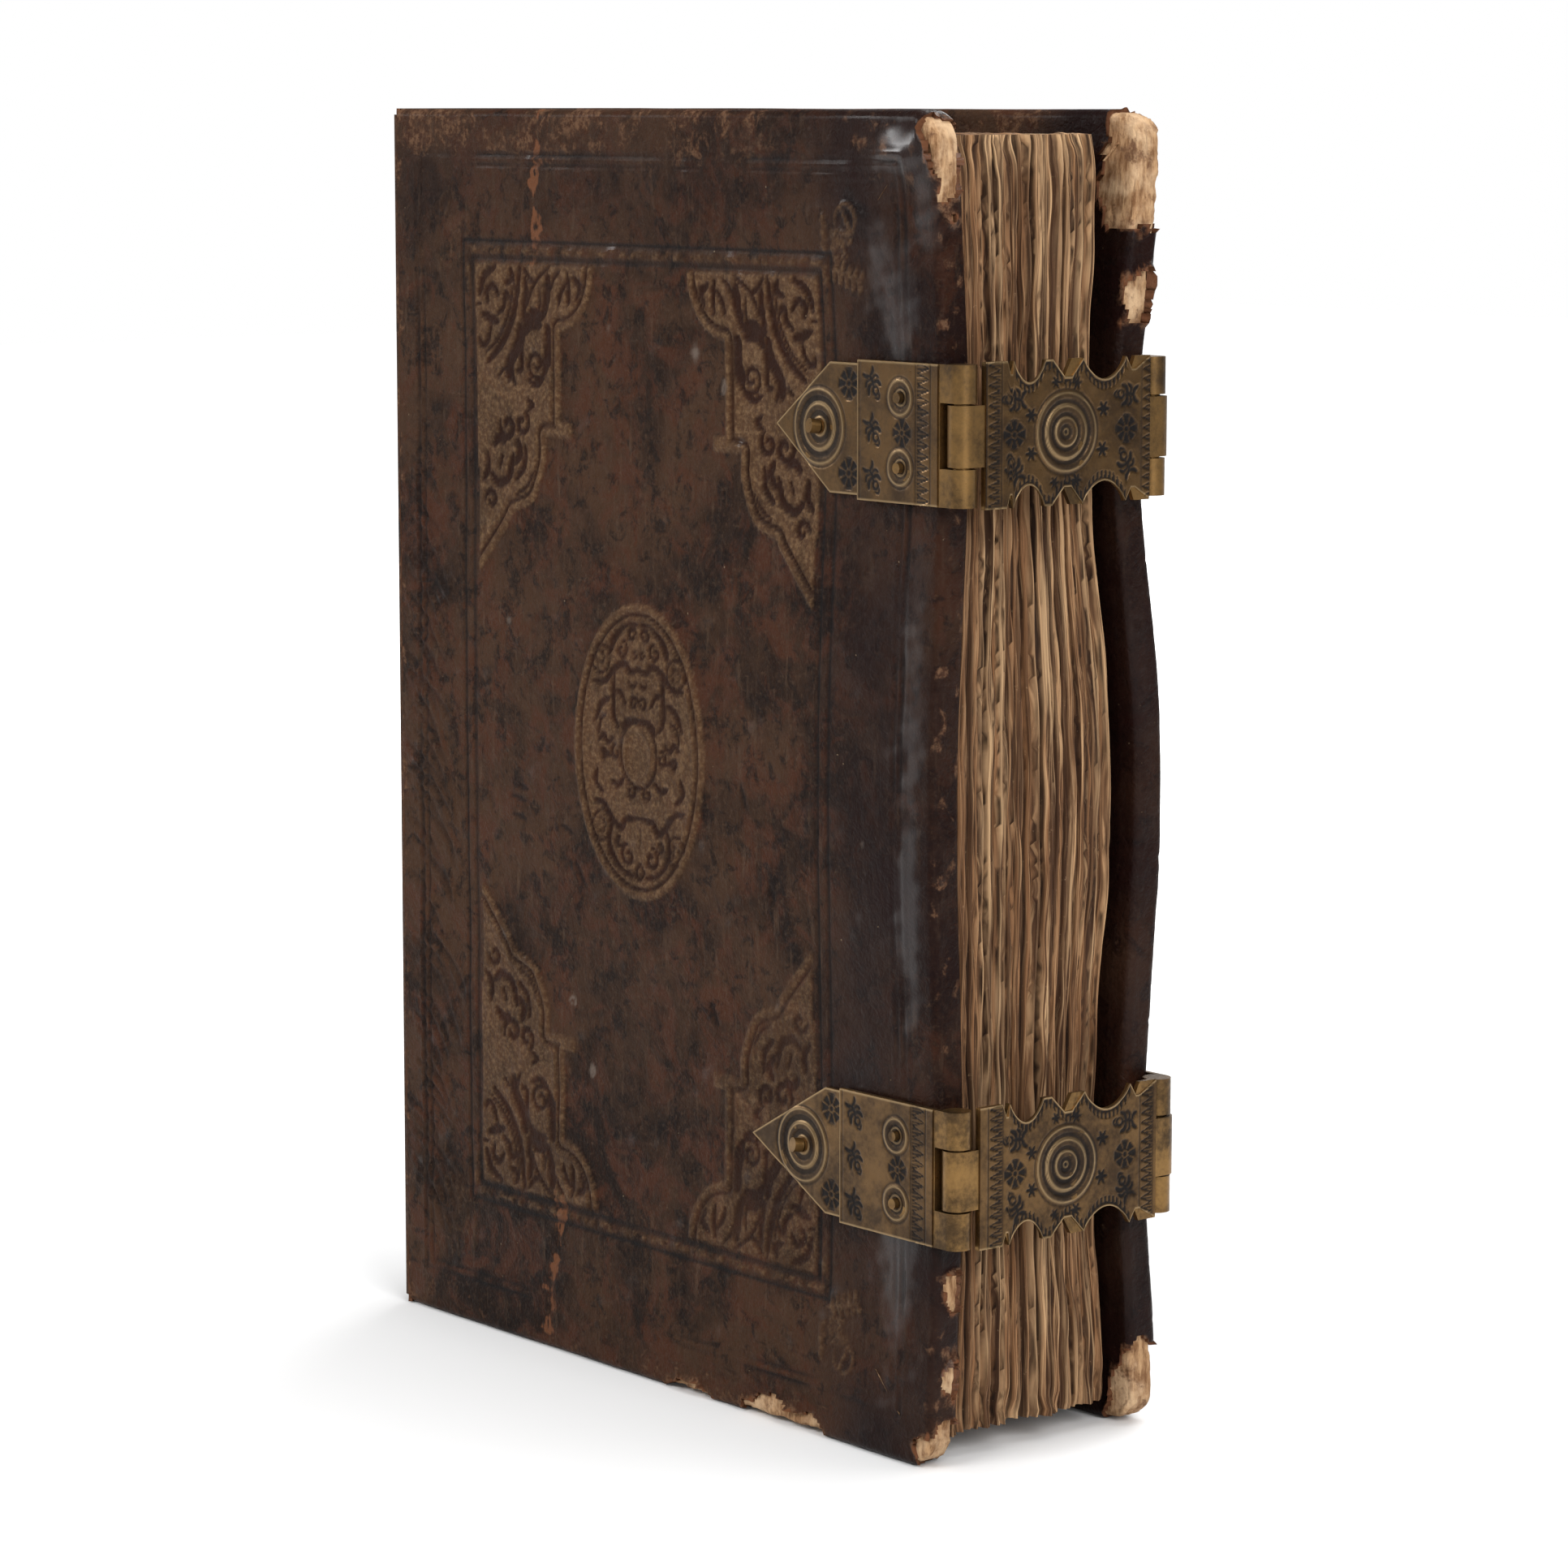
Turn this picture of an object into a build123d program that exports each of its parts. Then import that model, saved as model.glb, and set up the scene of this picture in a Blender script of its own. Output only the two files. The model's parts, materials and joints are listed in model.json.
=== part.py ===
from build123d import *
import math
import os

# An old psalter: leaves sewn on four raised bands between wooden boards, covered in leather
# with raised stamped ornament, and closed by two brass clasps at the fore-edge.
# Millimetres, +Z up, standing on its tail. The spine is at -X, the fore-edge at +X,
# and the front cover faces -Y. While it is drawn, x = 0 is the line of the two joints.

# Driving dimensions of the book
HEIGHT = 200.0
COVER_WIDTH = 136.5
BOOK_THICKNESS = 41.5
COVER_THICKNESS = 5.6
LEATHER = 0.8
PAPER = 0.25
TURN_IN = 13.0
ARRIS = 1.3
BOARD_ARRIS = 1.0
CORNER_ROUND = 5.0
JOINT_GAP = 0.15
SOFT_GAP = 0.35
FIT = 0.05

# Leaves
SQUARE = 3.6
GATHERINGS = 14
SCALLOP = 0.55
UNEVEN = 0.45
UNEVEN_TURN = 2.4
UNEVEN_DRIFT = 0.9
SHOULDER_SET = 0.5
BLOCK_BACK_GAP = (0.5, 1.2, 0.8, 1.4, 4.6)

# Spine
SPINE_ROUND = 7.0
BAND_COUNT = 4
LOWEST_BAND = 56.2
BAND_PITCH = 32.4
CORD_RADIUS = 1.5
BAND_SWEEP = 29.0
BAND_END = 1.6
ROUND_FLATS = 10
ENDBAND_RADIUS = 1.3
ENDBAND_SWEEP = 24.0

# How far each board stands out at the fore-edge: at tail, lower clasp, middle, upper clasp, head
FRONT_BOW = (1.8, 0.5, 1.9, 0.1, 2.0)
BACK_BOW = (3.0, 0.6, 3.2, -2.0, 2.4)
BOW_POINTS = 9
OVERRUN = 1.0

# Clasps
UPPER_CLASP = 153.5
LOWER_CLASP = 44.5
SHEET = 0.75
PIN_RADIUS = 1.35
HINGE_OUT = 3.4
PLATE_HALF = 10.3
KNUCKLE_HALF = 10.65
MIDDLE_HALF = 4.45
END_CLEAR = 0.3
SWING_CLEAR = 0.3
PLATE_INLET = 0.05

# Anchor plates, measured inward from the fore-edge: step, shoulder, roundel and tip
UPPER_ANCHOR = (17.3, 24.4, 26.9, 36.9)
LOWER_ANCHOR = (20.6, 24.8, 30.2, 42.3)
LEAF_HALF = 9.7
ROUNDEL_RADIUS = 5.5
SMALL_RIVET_INSET = 7.7
SMALL_RIVET_SPREAD = 5.1
SMALL_ROUNDEL_RADIUS = 2.5
RING_WIDTH = 0.6
RING_HEIGHT = 0.25
INNER_RING = 0.6
LARGE_RIVET = 1.1
SMALL_RIVET = 0.8
RIVET_DEPTH = 3.4
RIVET_PROUD = 0.9
RIVET_BEND = 1.5
RIVET_LEAN = 60.0
RIVET_TURN = 75.0

# Catch plates on the back cover
CATCH_LENGTH = 13.0
CATCH_RIVET_INSETS = (3.5, 9.5)
CATCH_RIVET_SPREAD = 6.5

# Blade of a clasp arm: places along it as shares of its length, and depths in mm
BAR_END = 0.128
NOTCH_FOOT = 0.146
SPIKE = 0.167
SCOOP_END = 0.357
CUT_START = 0.400
CUT_FOOT = 0.473
CUT_END = 0.516
BIG_SCOOP_START = 0.586
FAR_SPIKE = 0.848
FAR_NOTCH_FOOT = 0.880
FAR_BAR = 0.905
ROUNDEL_PLACE = 0.483
NOTCH_DEPTH = 1.9
SCOOP_DEPTH = 3.2
CUT_DEPTH = 2.6
ARM_ROUNDEL_RADIUS = 5.7
ARM_RINGS = (1.0, 0.66, 0.36)

# Panel and stamped ornament on the front cover
PANEL_LEFT = 21.8
PANEL_RIGHT = 109.1
PANEL_BOTTOM = 24.7
PANEL_TOP = 175.8
RELIEF = 0.4
LINE_WIDTH = 0.7
OUTER_LINE_INSET = 7.2
CORNER_WIDTH = 31.8
CORNER_NECK = 22.7
CORNER_NECK_TOP = 10.5
CORNER_STEP = 24.9
CORNER_BAR = (25.6, 2.4)
CORNER_LOBE = (18.9, 34.2)
CORNER_CUSP = (10.2, 40.0)
CORNER_TIP = (1.0, 50.0)
RIM_WIDTH = 0.9
RIM_SPACE = 0.8
MEDALLION_WIDTH = 33.6
MEDALLION_HEIGHT = 46.8
BOSS_WIDTH = 7.3
BOSS_HEIGHT = 8.2

# Curls of a corner piece: across, down and radius in mm, then start and sweep in degrees
CORNER_CURLS = (
    (11.3, 13.2, 7.6, 20.0, 250.0),
    (11.3, 13.2, 3.8, 160.0, 270.0),
    (11.3, 31.8, 4.5, 90.0, 250.0),
    (5.4, 37.1, 2.8, 200.0, 280.0),
)
MEDALLION_CURL_SWEEP = 230.0

# Torn places in the leather: distance down or in from the corner that is bare board
FRONT_HEAD_TEAR = 7.5
FRONT_TAIL_TEAR = 6.0
BACK_HEAD_TEAR = 17.0
BACK_TAIL_TEAR = 10.0
EDGE_TEAR_PLACE = 101.0
EDGE_TEAR_REACH = 10.0
EDGE_TEAR_HEIGHT = 4.5

# Values worked out from the sizes above
HALF = BOOK_THICKNESS / 2
STATIONS = (0.0, LOWER_CLASP, (LOWER_CLASP + UPPER_CLASP) / 2, UPPER_CLASP, HEIGHT)
SPINE_RADIUS = (HALF**2 + SPINE_ROUND**2) / (2 * SPINE_ROUND)
SPINE_CENTRE = SPINE_RADIUS - SPINE_ROUND
SPINE_ANGLE = math.degrees(math.asin(HALF / SPINE_RADIUS))
BORE_RADIUS = PIN_RADIUS + FIT
BARREL_RADIUS = BORE_RADIUS + SHEET
HOOK_RADIUS = PIN_RADIUS + SWING_CLEAR
HINGE_X = COVER_WIDTH + HINGE_OUT
CATCH_X = HINGE_X + BORE_RADIUS - HOOK_RADIUS
FRONT = -1
BACK = 1


def bow_at(bows, height):
    """How far a board stands out at the fore-edge at this height, between its stations."""
    level = max(height, STATIONS[0])
    for low, high, start, end in zip(STATIONS, STATIONS[1:], bows, bows[1:]):
        if level <= high:
            share = (level - low) / (high - low)
            ease = (1 - math.cos(math.pi * share)) / 2
            return start + (end - start) * ease
    return bows[-1]


def cover_face(side, bows, x, height):
    """The y of the outside of a cover."""
    return side * (HALF + bow_at(bows, height) * x / COVER_WIDTH)


def between_heights(body, low, high):
    """Keep what lies between two heights."""
    keep = Pos(0, 0, (low + high) / 2) * Box(4 * COVER_WIDTH, 4 * BOOK_THICKNESS, high - low)
    return body & keep


def slab(side, bows, x_range, depths, z_range):
    """A sheet that follows a cover: flat at the joint and bowed at the fore-edge.

    depths are measured inward from the outside of the cover. The sheet is drawn past head
    and tail and then cut level."""
    steps = [index / (BOW_POINTS - 1) for index in range(BOW_POINTS)]
    sections = []
    for x in x_range:
        curves = []
        for depth in depths:
            points = []
            for step in steps:
                z = step * (HEIGHT + 2 * OVERRUN) - OVERRUN
                points.append(Vector(x, cover_face(side, bows, x, z) - side * depth, z))
            curves.append(Edge.make_spline(points, parameters=steps))
        foot = Edge.make_line(curves[0] @ 0, curves[1] @ 0)
        head = Edge.make_line(curves[0] @ 1, curves[1] @ 1)
        sections.append(Face(Wire([foot, curves[1], head, curves[0]])))
    return between_heights(loft(sections, ruled=True), *z_range)


def upright(outline, side, reach=2 * BOOK_THICKNESS):
    """A prism through one side of the book, from an outline drawn as (x, z)."""
    prism = extrude(Plane.XZ * outline, amount=reach, both=True)
    half_space = Pos(COVER_WIDTH / 2, side * reach / 2, HEIGHT / 2)
    return prism & half_space * Box(4 * COVER_WIDTH, reach, 4 * HEIGHT)


def upright_between(outline, low, high):
    """A prism from an outline drawn as (x, z), standing between two values of y."""
    return Pos(0, high, 0) * extrude(Plane.XZ * outline, amount=high - low)


# Covers

def torn_places(side):
    """Rounded bites that take the leather off the corners and one stretch of the edge."""
    if side == FRONT:
        tears = [(COVER_WIDTH, HEIGHT, FRONT_HEAD_TEAR), (COVER_WIDTH, 0, FRONT_TAIL_TEAR)]
    else:
        tears = [(COVER_WIDTH, HEIGHT, BACK_HEAD_TEAR), (COVER_WIDTH, 0, BACK_TAIL_TEAR)]
    bows = FRONT_BOW if side == FRONT else BACK_BOW
    bites = []
    for x, z, reach in tears:
        y = cover_face(side, bows, x, z) - side * COVER_THICKNESS / 2
        bites.append(Pos(x + reach / 4, y, z) * Sphere(reach))
    if side == FRONT:
        face = cover_face(side, bows, EDGE_TEAR_PLACE, 0)
        outline = Pos(EDGE_TEAR_PLACE, 0) * Ellipse(EDGE_TEAR_REACH, EDGE_TEAR_HEIGHT)
        bites.append(upright_between(outline, face - LEATHER, face + COVER_THICKNESS / 2))
    return bites


def rounded_plate(side, bows, x_range, depths, z_range, corner, arris):
    """A plate with round corners at the fore-edge and soft edges all round, save at the joint."""
    body = slab(side, bows, x_range, depths, z_range)
    corners = body.edges().filter_by(Axis.Y).filter_by(lambda edge: edge.center().X > COVER_WIDTH / 2)
    body = fillet(corners, corner)
    upright_to_plate = body.edges().filter_by(Axis.Y)
    outline = [edge for edge in body.edges() - upright_to_plate if edge.center().X > corner]
    return fillet(outline, arris)


def board(side, bows):
    return rounded_plate(
        side, bows,
        (JOINT_GAP + LEATHER, COVER_WIDTH - LEATHER),
        (LEATHER, COVER_THICKNESS - LEATHER),
        (LEATHER, HEIGHT - LEATHER),
        CORNER_ROUND - LEATHER, BOARD_ARRIS,
    )


def covering(side, bows, bare_board):
    """Leather over a board, turned in at head, tail and fore-edge, and torn at the corners."""
    body = rounded_plate(
        side, bows, (JOINT_GAP, COVER_WIDTH), (0, COVER_THICKNESS), (0, HEIGHT), CORNER_ROUND, ARRIS
    )
    window = slab(
        side, bows,
        (JOINT_GAP + LEATHER, COVER_WIDTH - TURN_IN),
        (COVER_THICKNESS / 2, COVER_THICKNESS + LEATHER),
        (TURN_IN, HEIGHT - TURN_IN),
    )
    body = body - bare_board - window
    for bite in torn_places(side):
        body = body - bite
    return body


def pastedown(side, bows):
    depth = COVER_THICKNESS - LEATHER + FIT
    return slab(
        side, bows,
        (JOINT_GAP + LEATHER + FIT, COVER_WIDTH - TURN_IN - FIT),
        (depth, depth + PAPER),
        (TURN_IN + FIT, HEIGHT - TURN_IN - FIT),
    )


# Stamped ornament

def rim(shape, inset):
    """A raised line that runs round inside an outline."""
    outer = offset(shape, -inset, kind=Kind.ARC) if inset else shape
    return outer - offset(shape, -inset - RIM_WIDTH, kind=Kind.ARC)


def corner_outline():
    """The corner piece at the head and joint, drawn from the panel's corner to the right and down."""
    bar_reach, bar_height = CORNER_BAR
    neck_top = (CORNER_NECK, -CORNER_NECK_TOP)
    neck_foot = (CORNER_NECK, -CORNER_STEP)
    bar_top = (bar_reach, -CORNER_STEP)
    bar_foot = (bar_reach, -CORNER_STEP - bar_height)
    lobe_top = (CORNER_LOBE[0], -CORNER_STEP - bar_height)
    lobe_side = (CORNER_LOBE[0] - RIM_WIDTH, -CORNER_LOBE[1])
    cusp = (CORNER_CUSP[0], -CORNER_CUSP[1])
    tip = (CORNER_TIP[0], -CORNER_TIP[1])
    across = (CORNER_WIDTH - CORNER_NECK) * math.sqrt(0.5)
    shoulder = (CORNER_NECK + across, -CORNER_NECK_TOP * math.sqrt(0.5))
    edges = [
        Line((0, 0), tip),
        SagittaArc(tip, cusp, -RIM_WIDTH),
        ThreePointArc(cusp, lobe_side, lobe_top),
        Line(lobe_top, bar_foot),
        Line(bar_foot, bar_top),
        Line(bar_top, neck_foot),
        Line(neck_foot, neck_top),
        ThreePointArc(neck_top, shoulder, (CORNER_WIDTH, 0)),
        Line((CORNER_WIDTH, 0), (0, 0)),
    ]
    return make_face(Curve() + edges)


def ring(x, z, radius, width):
    return Pos(x, z) * (Circle(radius) - Circle(radius - width))


def scroll(x, z, radius, start, sweep):
    """A raised curl: an open ring of strapwork."""
    path = CenterArc((x, z), radius, start, sweep)
    return trace(path, line_width=RIM_WIDTH)


def corner_piece():
    outline = corner_outline()
    shape = rim(outline, 0) + rim(outline, RIM_WIDTH + RIM_SPACE)
    for across, down, radius, start, sweep in CORNER_CURLS:
        shape = shape + scroll(across, -down, radius, start, sweep)
    return shape


def oval_ring(inset):
    """A raised line inside the medallion's outline."""
    outer = Ellipse(MEDALLION_WIDTH / 2 - inset, MEDALLION_HEIGHT / 2 - inset)
    inner = inset + RIM_WIDTH
    return outer - Ellipse(MEDALLION_WIDTH / 2 - inner, MEDALLION_HEIGHT / 2 - inner)


def medallion():
    shape = oval_ring(0) + oval_ring(RIM_WIDTH + RIM_SPACE)
    shape = shape + Ellipse(BOSS_WIDTH / 2, BOSS_HEIGHT / 2)
    reach = MEDALLION_WIDTH / 4
    for side in (-1, 1):
        for level in (-1, 1):
            shape = shape + ring(side * reach / 2, level * MEDALLION_HEIGHT / 4, reach / 3, RIM_WIDTH)
            start = 90 if side > 0 else -90
            shape = shape + scroll(side * reach, level * reach / 2, reach / 2, start, MEDALLION_CURL_SWEEP)
    return shape


def panel_ornament():
    """Everything raised on the front cover, drawn as (x, z)."""
    centre_x = (PANEL_LEFT + PANEL_RIGHT) / 2
    centre_z = (PANEL_BOTTOM + PANEL_TOP) / 2
    width = PANEL_RIGHT - PANEL_LEFT
    height = PANEL_TOP - PANEL_BOTTOM
    pieces = []
    for margin in (0, 2 * LINE_WIDTH + RIM_SPACE):
        outside = Rectangle(width + 2 * (margin + LINE_WIDTH), height + 2 * (margin + LINE_WIDTH))
        inside = Rectangle(width + 2 * margin, height + 2 * margin)
        pieces.append(Pos(centre_x, centre_z) * (outside - inside))
    line_height = HEIGHT - 2 * OUTER_LINE_INSET
    line_width = COVER_WIDTH - 2 * OUTER_LINE_INSET
    for margin in (0, 2 * LINE_WIDTH):
        outside = Rectangle(line_width - 2 * margin, line_height - 2 * margin)
        inner = 2 * (margin + LINE_WIDTH)
        inside = Rectangle(line_width - inner, line_height - inner)
        pieces.append(Pos(COVER_WIDTH / 2, HEIGHT / 2) * (outside - inside))
    top_left = Pos(PANEL_LEFT + RIM_SPACE, PANEL_TOP - RIM_SPACE) * corner_piece()
    pieces.append(top_left)
    pieces.append(top_left.mirror(Plane.YZ.offset(centre_x)))
    bottom_left = top_left.mirror(Plane.XZ.offset(-centre_z))
    pieces.append(bottom_left)
    pieces.append(bottom_left.mirror(Plane.YZ.offset(centre_x)))
    pieces.append(Pos(centre_x, centre_z) * medallion())
    return pieces


def ornamented(leather, bows):
    """Raise the ornament a little above the front leather."""
    skin = slab(FRONT, bows, (JOINT_GAP, COVER_WIDTH - ARRIS), (-RELIEF, LEATHER / 2), (0, HEIGHT))
    raised = []
    for drawing in panel_ornament():
        box = drawing.bounding_box()
        local = between_heights(skin, box.min.Y - RIM_WIDTH, box.max.Y + RIM_WIDTH)
        prism = upright_between(drawing, -HALF - max(bows) - 2 * RELIEF, -HALF + LEATHER)
        raised.append(prism & local)
    return leather + raised


# Leaves and spine

def block_section(height, front_y, back_y, front_joint, back_joint):
    """The leaves cut level: backed shoulders, rounded spine and scalloped fore-edge."""
    edge_x = COVER_WIDTH - SQUARE
    spine_radius = SPINE_RADIUS - LEATHER - 2 * FIT
    shoulder_y = math.sqrt(spine_radius**2 - (SPINE_CENTRE + SHOULDER_SET)**2)
    valleys = []
    for index in range(GATHERINGS + 1):
        share = index / GATHERINGS
        drift = UNEVEN_DRIFT * index + height / HEIGHT
        wobble = UNEVEN * math.sin(UNEVEN_TURN * index) * math.cos(drift)
        valleys.append((edge_x - SCALLOP - UNEVEN + wobble, front_y + (back_y - front_y) * share))
    edges = [Line((-SHOULDER_SET, front_joint), valleys[0])]
    for start, end in zip(valleys, valleys[1:]):
        edges.append(SagittaArc(start, end, -SCALLOP))
    edges.append(Line(valleys[-1], (-SHOULDER_SET, back_joint)))
    edges.append(Line((-SHOULDER_SET, back_joint), (-SHOULDER_SET, shoulder_y)))
    edges.append(ThreePointArc(
        (-SHOULDER_SET, shoulder_y),
        (SPINE_CENTRE - spine_radius, 0),
        (-SHOULDER_SET, -shoulder_y),
    ))
    edges.append(Line((-SHOULDER_SET, -shoulder_y), (-SHOULDER_SET, front_joint)))
    return Pos(0, 0, height) * make_face(Curve() + edges)


def text_block():
    inner = COVER_THICKNESS + SOFT_GAP
    heights = (SQUARE,) + STATIONS[1:-1] + (HEIGHT - SQUARE,)
    stations = list(zip(heights, BLOCK_BACK_GAP))
    sections = []
    edge_x = COVER_WIDTH - SQUARE
    for index, (height, gap) in enumerate(stations):
        front_y = cover_face(FRONT, FRONT_BOW, edge_x, height) + inner
        back_y = cover_face(BACK, BACK_BOW, edge_x, height) - inner - gap
        sections.append(block_section(height, front_y, back_y, -HALF + inner, HALF - inner))
        if index + 1 < len(stations):
            next_height, next_gap = stations[index + 1]
            middle = (height + next_height) / 2
            front_y = cover_face(FRONT, FRONT_BOW, edge_x, middle) + inner
            back_y = cover_face(BACK, BACK_BOW, edge_x, middle) - inner - (gap + next_gap) / 2
            sections.append(block_section(middle, front_y, back_y, -HALF + inner, HALF - inner))
    return loft(sections, ruled=False)


def spine_sector(profile, sweep):
    """Turn a profile, drawn as (radius, z), about the upright centre line of the spine."""
    turned = revolve(Plane.XZ * profile, Axis.Z, revolution_arc=2 * sweep)
    return Pos(SPINE_CENTRE, 0, 0) * Rot(0, 0, 180 - sweep) * turned


def band_heights():
    return [LOWEST_BAND + BAND_PITCH * index for index in range(BAND_COUNT)]


def half_disc(radius, centre_radius, height):
    disc = Pos(centre_radius, height) * Circle(radius)
    outer_half = Pos(centre_radius + radius, height) * Rectangle(2 * radius, 3 * radius)
    return disc & outer_half


def half_round(radius, centre_radius, height):
    """A half disc in short flats, whose turned faces are plain cones."""
    angles = [math.radians(-90 + 180 * index / ROUND_FLATS) for index in range(ROUND_FLATS + 1)]
    points = [(centre_radius + radius * math.cos(a), height + radius * math.sin(a)) for a in angles]
    return make_face(Polyline(*points, close=True))


def band(height):
    return spine_sector(half_disc(CORD_RADIUS, SPINE_RADIUS - LEATHER - FIT, height), BAND_SWEEP)


def spine_leather():
    centre = SPINE_RADIUS - LEATHER
    wall = Pos(centre + LEATHER / 2, HEIGHT / 2) * Rectangle(LEATHER, HEIGHT)
    skin = spine_sector(wall, SPINE_ANGLE)
    ridge_sweep = BAND_SWEEP + BAND_END
    pocket_sweep = BAND_SWEEP + FIT
    pocket_radius = (CORD_RADIUS + FIT) / math.cos(math.pi / (2 * ROUND_FLATS))
    for height in band_heights():
        ridge = half_round(CORD_RADIUS + LEATHER, centre + FIT, height)
        pocket = half_round(pocket_radius, centre - FIT, height)
        skin = skin + spine_sector(ridge, ridge_sweep)
        skin = skin - spine_sector(pocket, pocket_sweep)
    keep = Pos(-JOINT_GAP - COVER_WIDTH / 2, 0, HEIGHT / 2) * Box(COVER_WIDTH, 2 * BOOK_THICKNESS, 2 * HEIGHT)
    return skin & keep


def endband(height):
    centre = SPINE_RADIUS - LEATHER - 2 * FIT - ENDBAND_RADIUS
    return spine_sector(Pos(centre, height) * Circle(ENDBAND_RADIUS), ENDBAND_SWEEP)


# Brass

def level_prism(outline, low, high):
    """A prism from an outline drawn as (x, y), standing between two heights."""
    return Pos(0, 0, low) * extrude(outline, amount=high - low)


def plate_outline(step, shoulder, tip, grow=0.0):
    """The pointed leaf of an anchor plate, drawn as (x, z) about its middle line."""
    end = COVER_WIDTH + HINGE_OUT
    points = [
        (end, -LEAF_HALF - grow),
        (COVER_WIDTH - shoulder - grow / 2, -LEAF_HALF - grow),
        (COVER_WIDTH - tip - grow, 0),
        (COVER_WIDTH - shoulder - grow / 2, LEAF_HALF + grow),
        (end, LEAF_HALF + grow),
    ]
    return make_face(Polyline(*points, close=True))


def knuckle_slot(pin_x, reach):
    """The opening between two knuckles, cut clear of what turns inside it."""
    half = MIDDLE_HALF + END_CLEAR
    start = pin_x - reach - SWING_CLEAR
    return Pos(start + BARREL_RADIUS * 2 + SWING_CLEAR, 0) * Rectangle(
        4 * BARREL_RADIUS + 2 * SWING_CLEAR, 2 * half
    )


def anchor_plate(z, shape):
    """A brass strap folded round the hinge pin: a pointed under leaf and a square upper leaf."""
    step, shoulder, roundel, tip = shape
    face = cover_face(FRONT, FRONT_BOW, COVER_WIDTH, z)
    seat = face + PLATE_INLET
    top = seat - 2 * SHEET
    pin_y = top + BARREL_RADIUS
    under = upright_between(plate_outline(step, shoulder, tip), seat - SHEET, seat)
    under = under - Pos(HINGE_X + COVER_WIDTH / 2, 0, 0) * Box(
        COVER_WIDTH + 2 * BORE_RADIUS, 2 * BOOK_THICKNESS, HEIGHT
    )
    upper_face = Pos((HINGE_X + COVER_WIDTH - step) / 2, 0) * Rectangle(HINGE_OUT + step, 2 * PLATE_HALF)
    upper = upright_between(upper_face, top, top + SHEET)
    roll = level_prism(Pos(HINGE_X, pin_y) * Circle(BARREL_RADIUS), -PLATE_HALF, PLATE_HALF)
    bore = level_prism(Pos(HINGE_X, pin_y) * Circle(BORE_RADIUS), -KNUCKLE_HALF, KNUCKLE_HALF)
    plate = under + upper + roll - bore
    plate = plate - upright(knuckle_slot(HINGE_X, BARREL_RADIUS), FRONT)
    big_x = COVER_WIDTH - roundel
    plate = plate + ring_boss(big_x, 0, ROUNDEL_RADIUS, seat - SHEET)
    plate = plate + ring_boss(big_x, 0, ROUNDEL_RADIUS * INNER_RING, seat - SHEET)
    small_x = COVER_WIDTH - SMALL_RIVET_INSET
    for level in (-SMALL_RIVET_SPREAD, SMALL_RIVET_SPREAD):
        plate = plate + ring_boss(small_x, level, SMALL_ROUNDEL_RADIUS, top)
        plate = plate - rivet_hole(small_x, level, SMALL_RIVET, FRONT)
    plate = plate - rivet_hole(big_x, 0, LARGE_RIVET, FRONT)
    return Pos(0, 0, z) * plate


def ring_boss(x, z, radius, face):
    """A raised ring on the outside of a plate on the front cover."""
    return upright_between(ring(x, z, radius, RING_WIDTH), face - RING_HEIGHT, face + SHEET / 3)


def rivet_hole(x, z, radius, side):
    return upright(Pos(x, z) * Circle(radius + FIT / 2), side)


def hinge_y(z):
    """Where the hinge pin stands: the roll is flush with the upper leaf of its plate."""
    return cover_face(FRONT, FRONT_BOW, COVER_WIDTH, z) + PLATE_INLET - 2 * SHEET + BARREL_RADIUS


def catch_y(z):
    """Where the catch pin stands: the roll is flush with the outside of its plate."""
    return cover_face(BACK, BACK_BOW, COVER_WIDTH, z) - PLATE_INLET + SHEET - BARREL_RADIUS


def pin(x, y, z):
    half = PLATE_HALF
    return level_prism(Pos(x, y) * Circle(PIN_RADIUS), z - half, z + half)


def catch_plate(z):
    """A brass plate on the outside of the back cover, rolled round the catch pin."""
    face = cover_face(BACK, BACK_BOW, COVER_WIDTH, z)
    seat = face - PLATE_INLET
    pin_y = catch_y(z)
    leaf_face = Pos((CATCH_X + COVER_WIDTH - CATCH_LENGTH) / 2, 0) * Rectangle(
        CATCH_X - COVER_WIDTH + CATCH_LENGTH, 2 * PLATE_HALF
    )
    leaf = upright_between(leaf_face, seat, seat + SHEET)
    roll = level_prism(Pos(CATCH_X, pin_y) * Circle(BARREL_RADIUS), -PLATE_HALF, PLATE_HALF)
    bore = level_prism(Pos(CATCH_X, pin_y) * Circle(BORE_RADIUS), -KNUCKLE_HALF, KNUCKLE_HALF)
    plate = leaf + roll - bore
    plate = plate - upright(knuckle_slot(CATCH_X, HOOK_RADIUS + SHEET), BACK)
    for x, level in catch_rivet_places():
        plate = plate - rivet_hole(x, level, SMALL_RIVET, BACK)
    return Pos(0, 0, z) * plate


def catch_rivet_places():
    near, far = CATCH_RIVET_INSETS
    return [
        (COVER_WIDTH - near, -CATCH_RIVET_SPREAD),
        (COVER_WIDTH - near, CATCH_RIVET_SPREAD),
        (COVER_WIDTH - far, 0),
    ]


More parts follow.
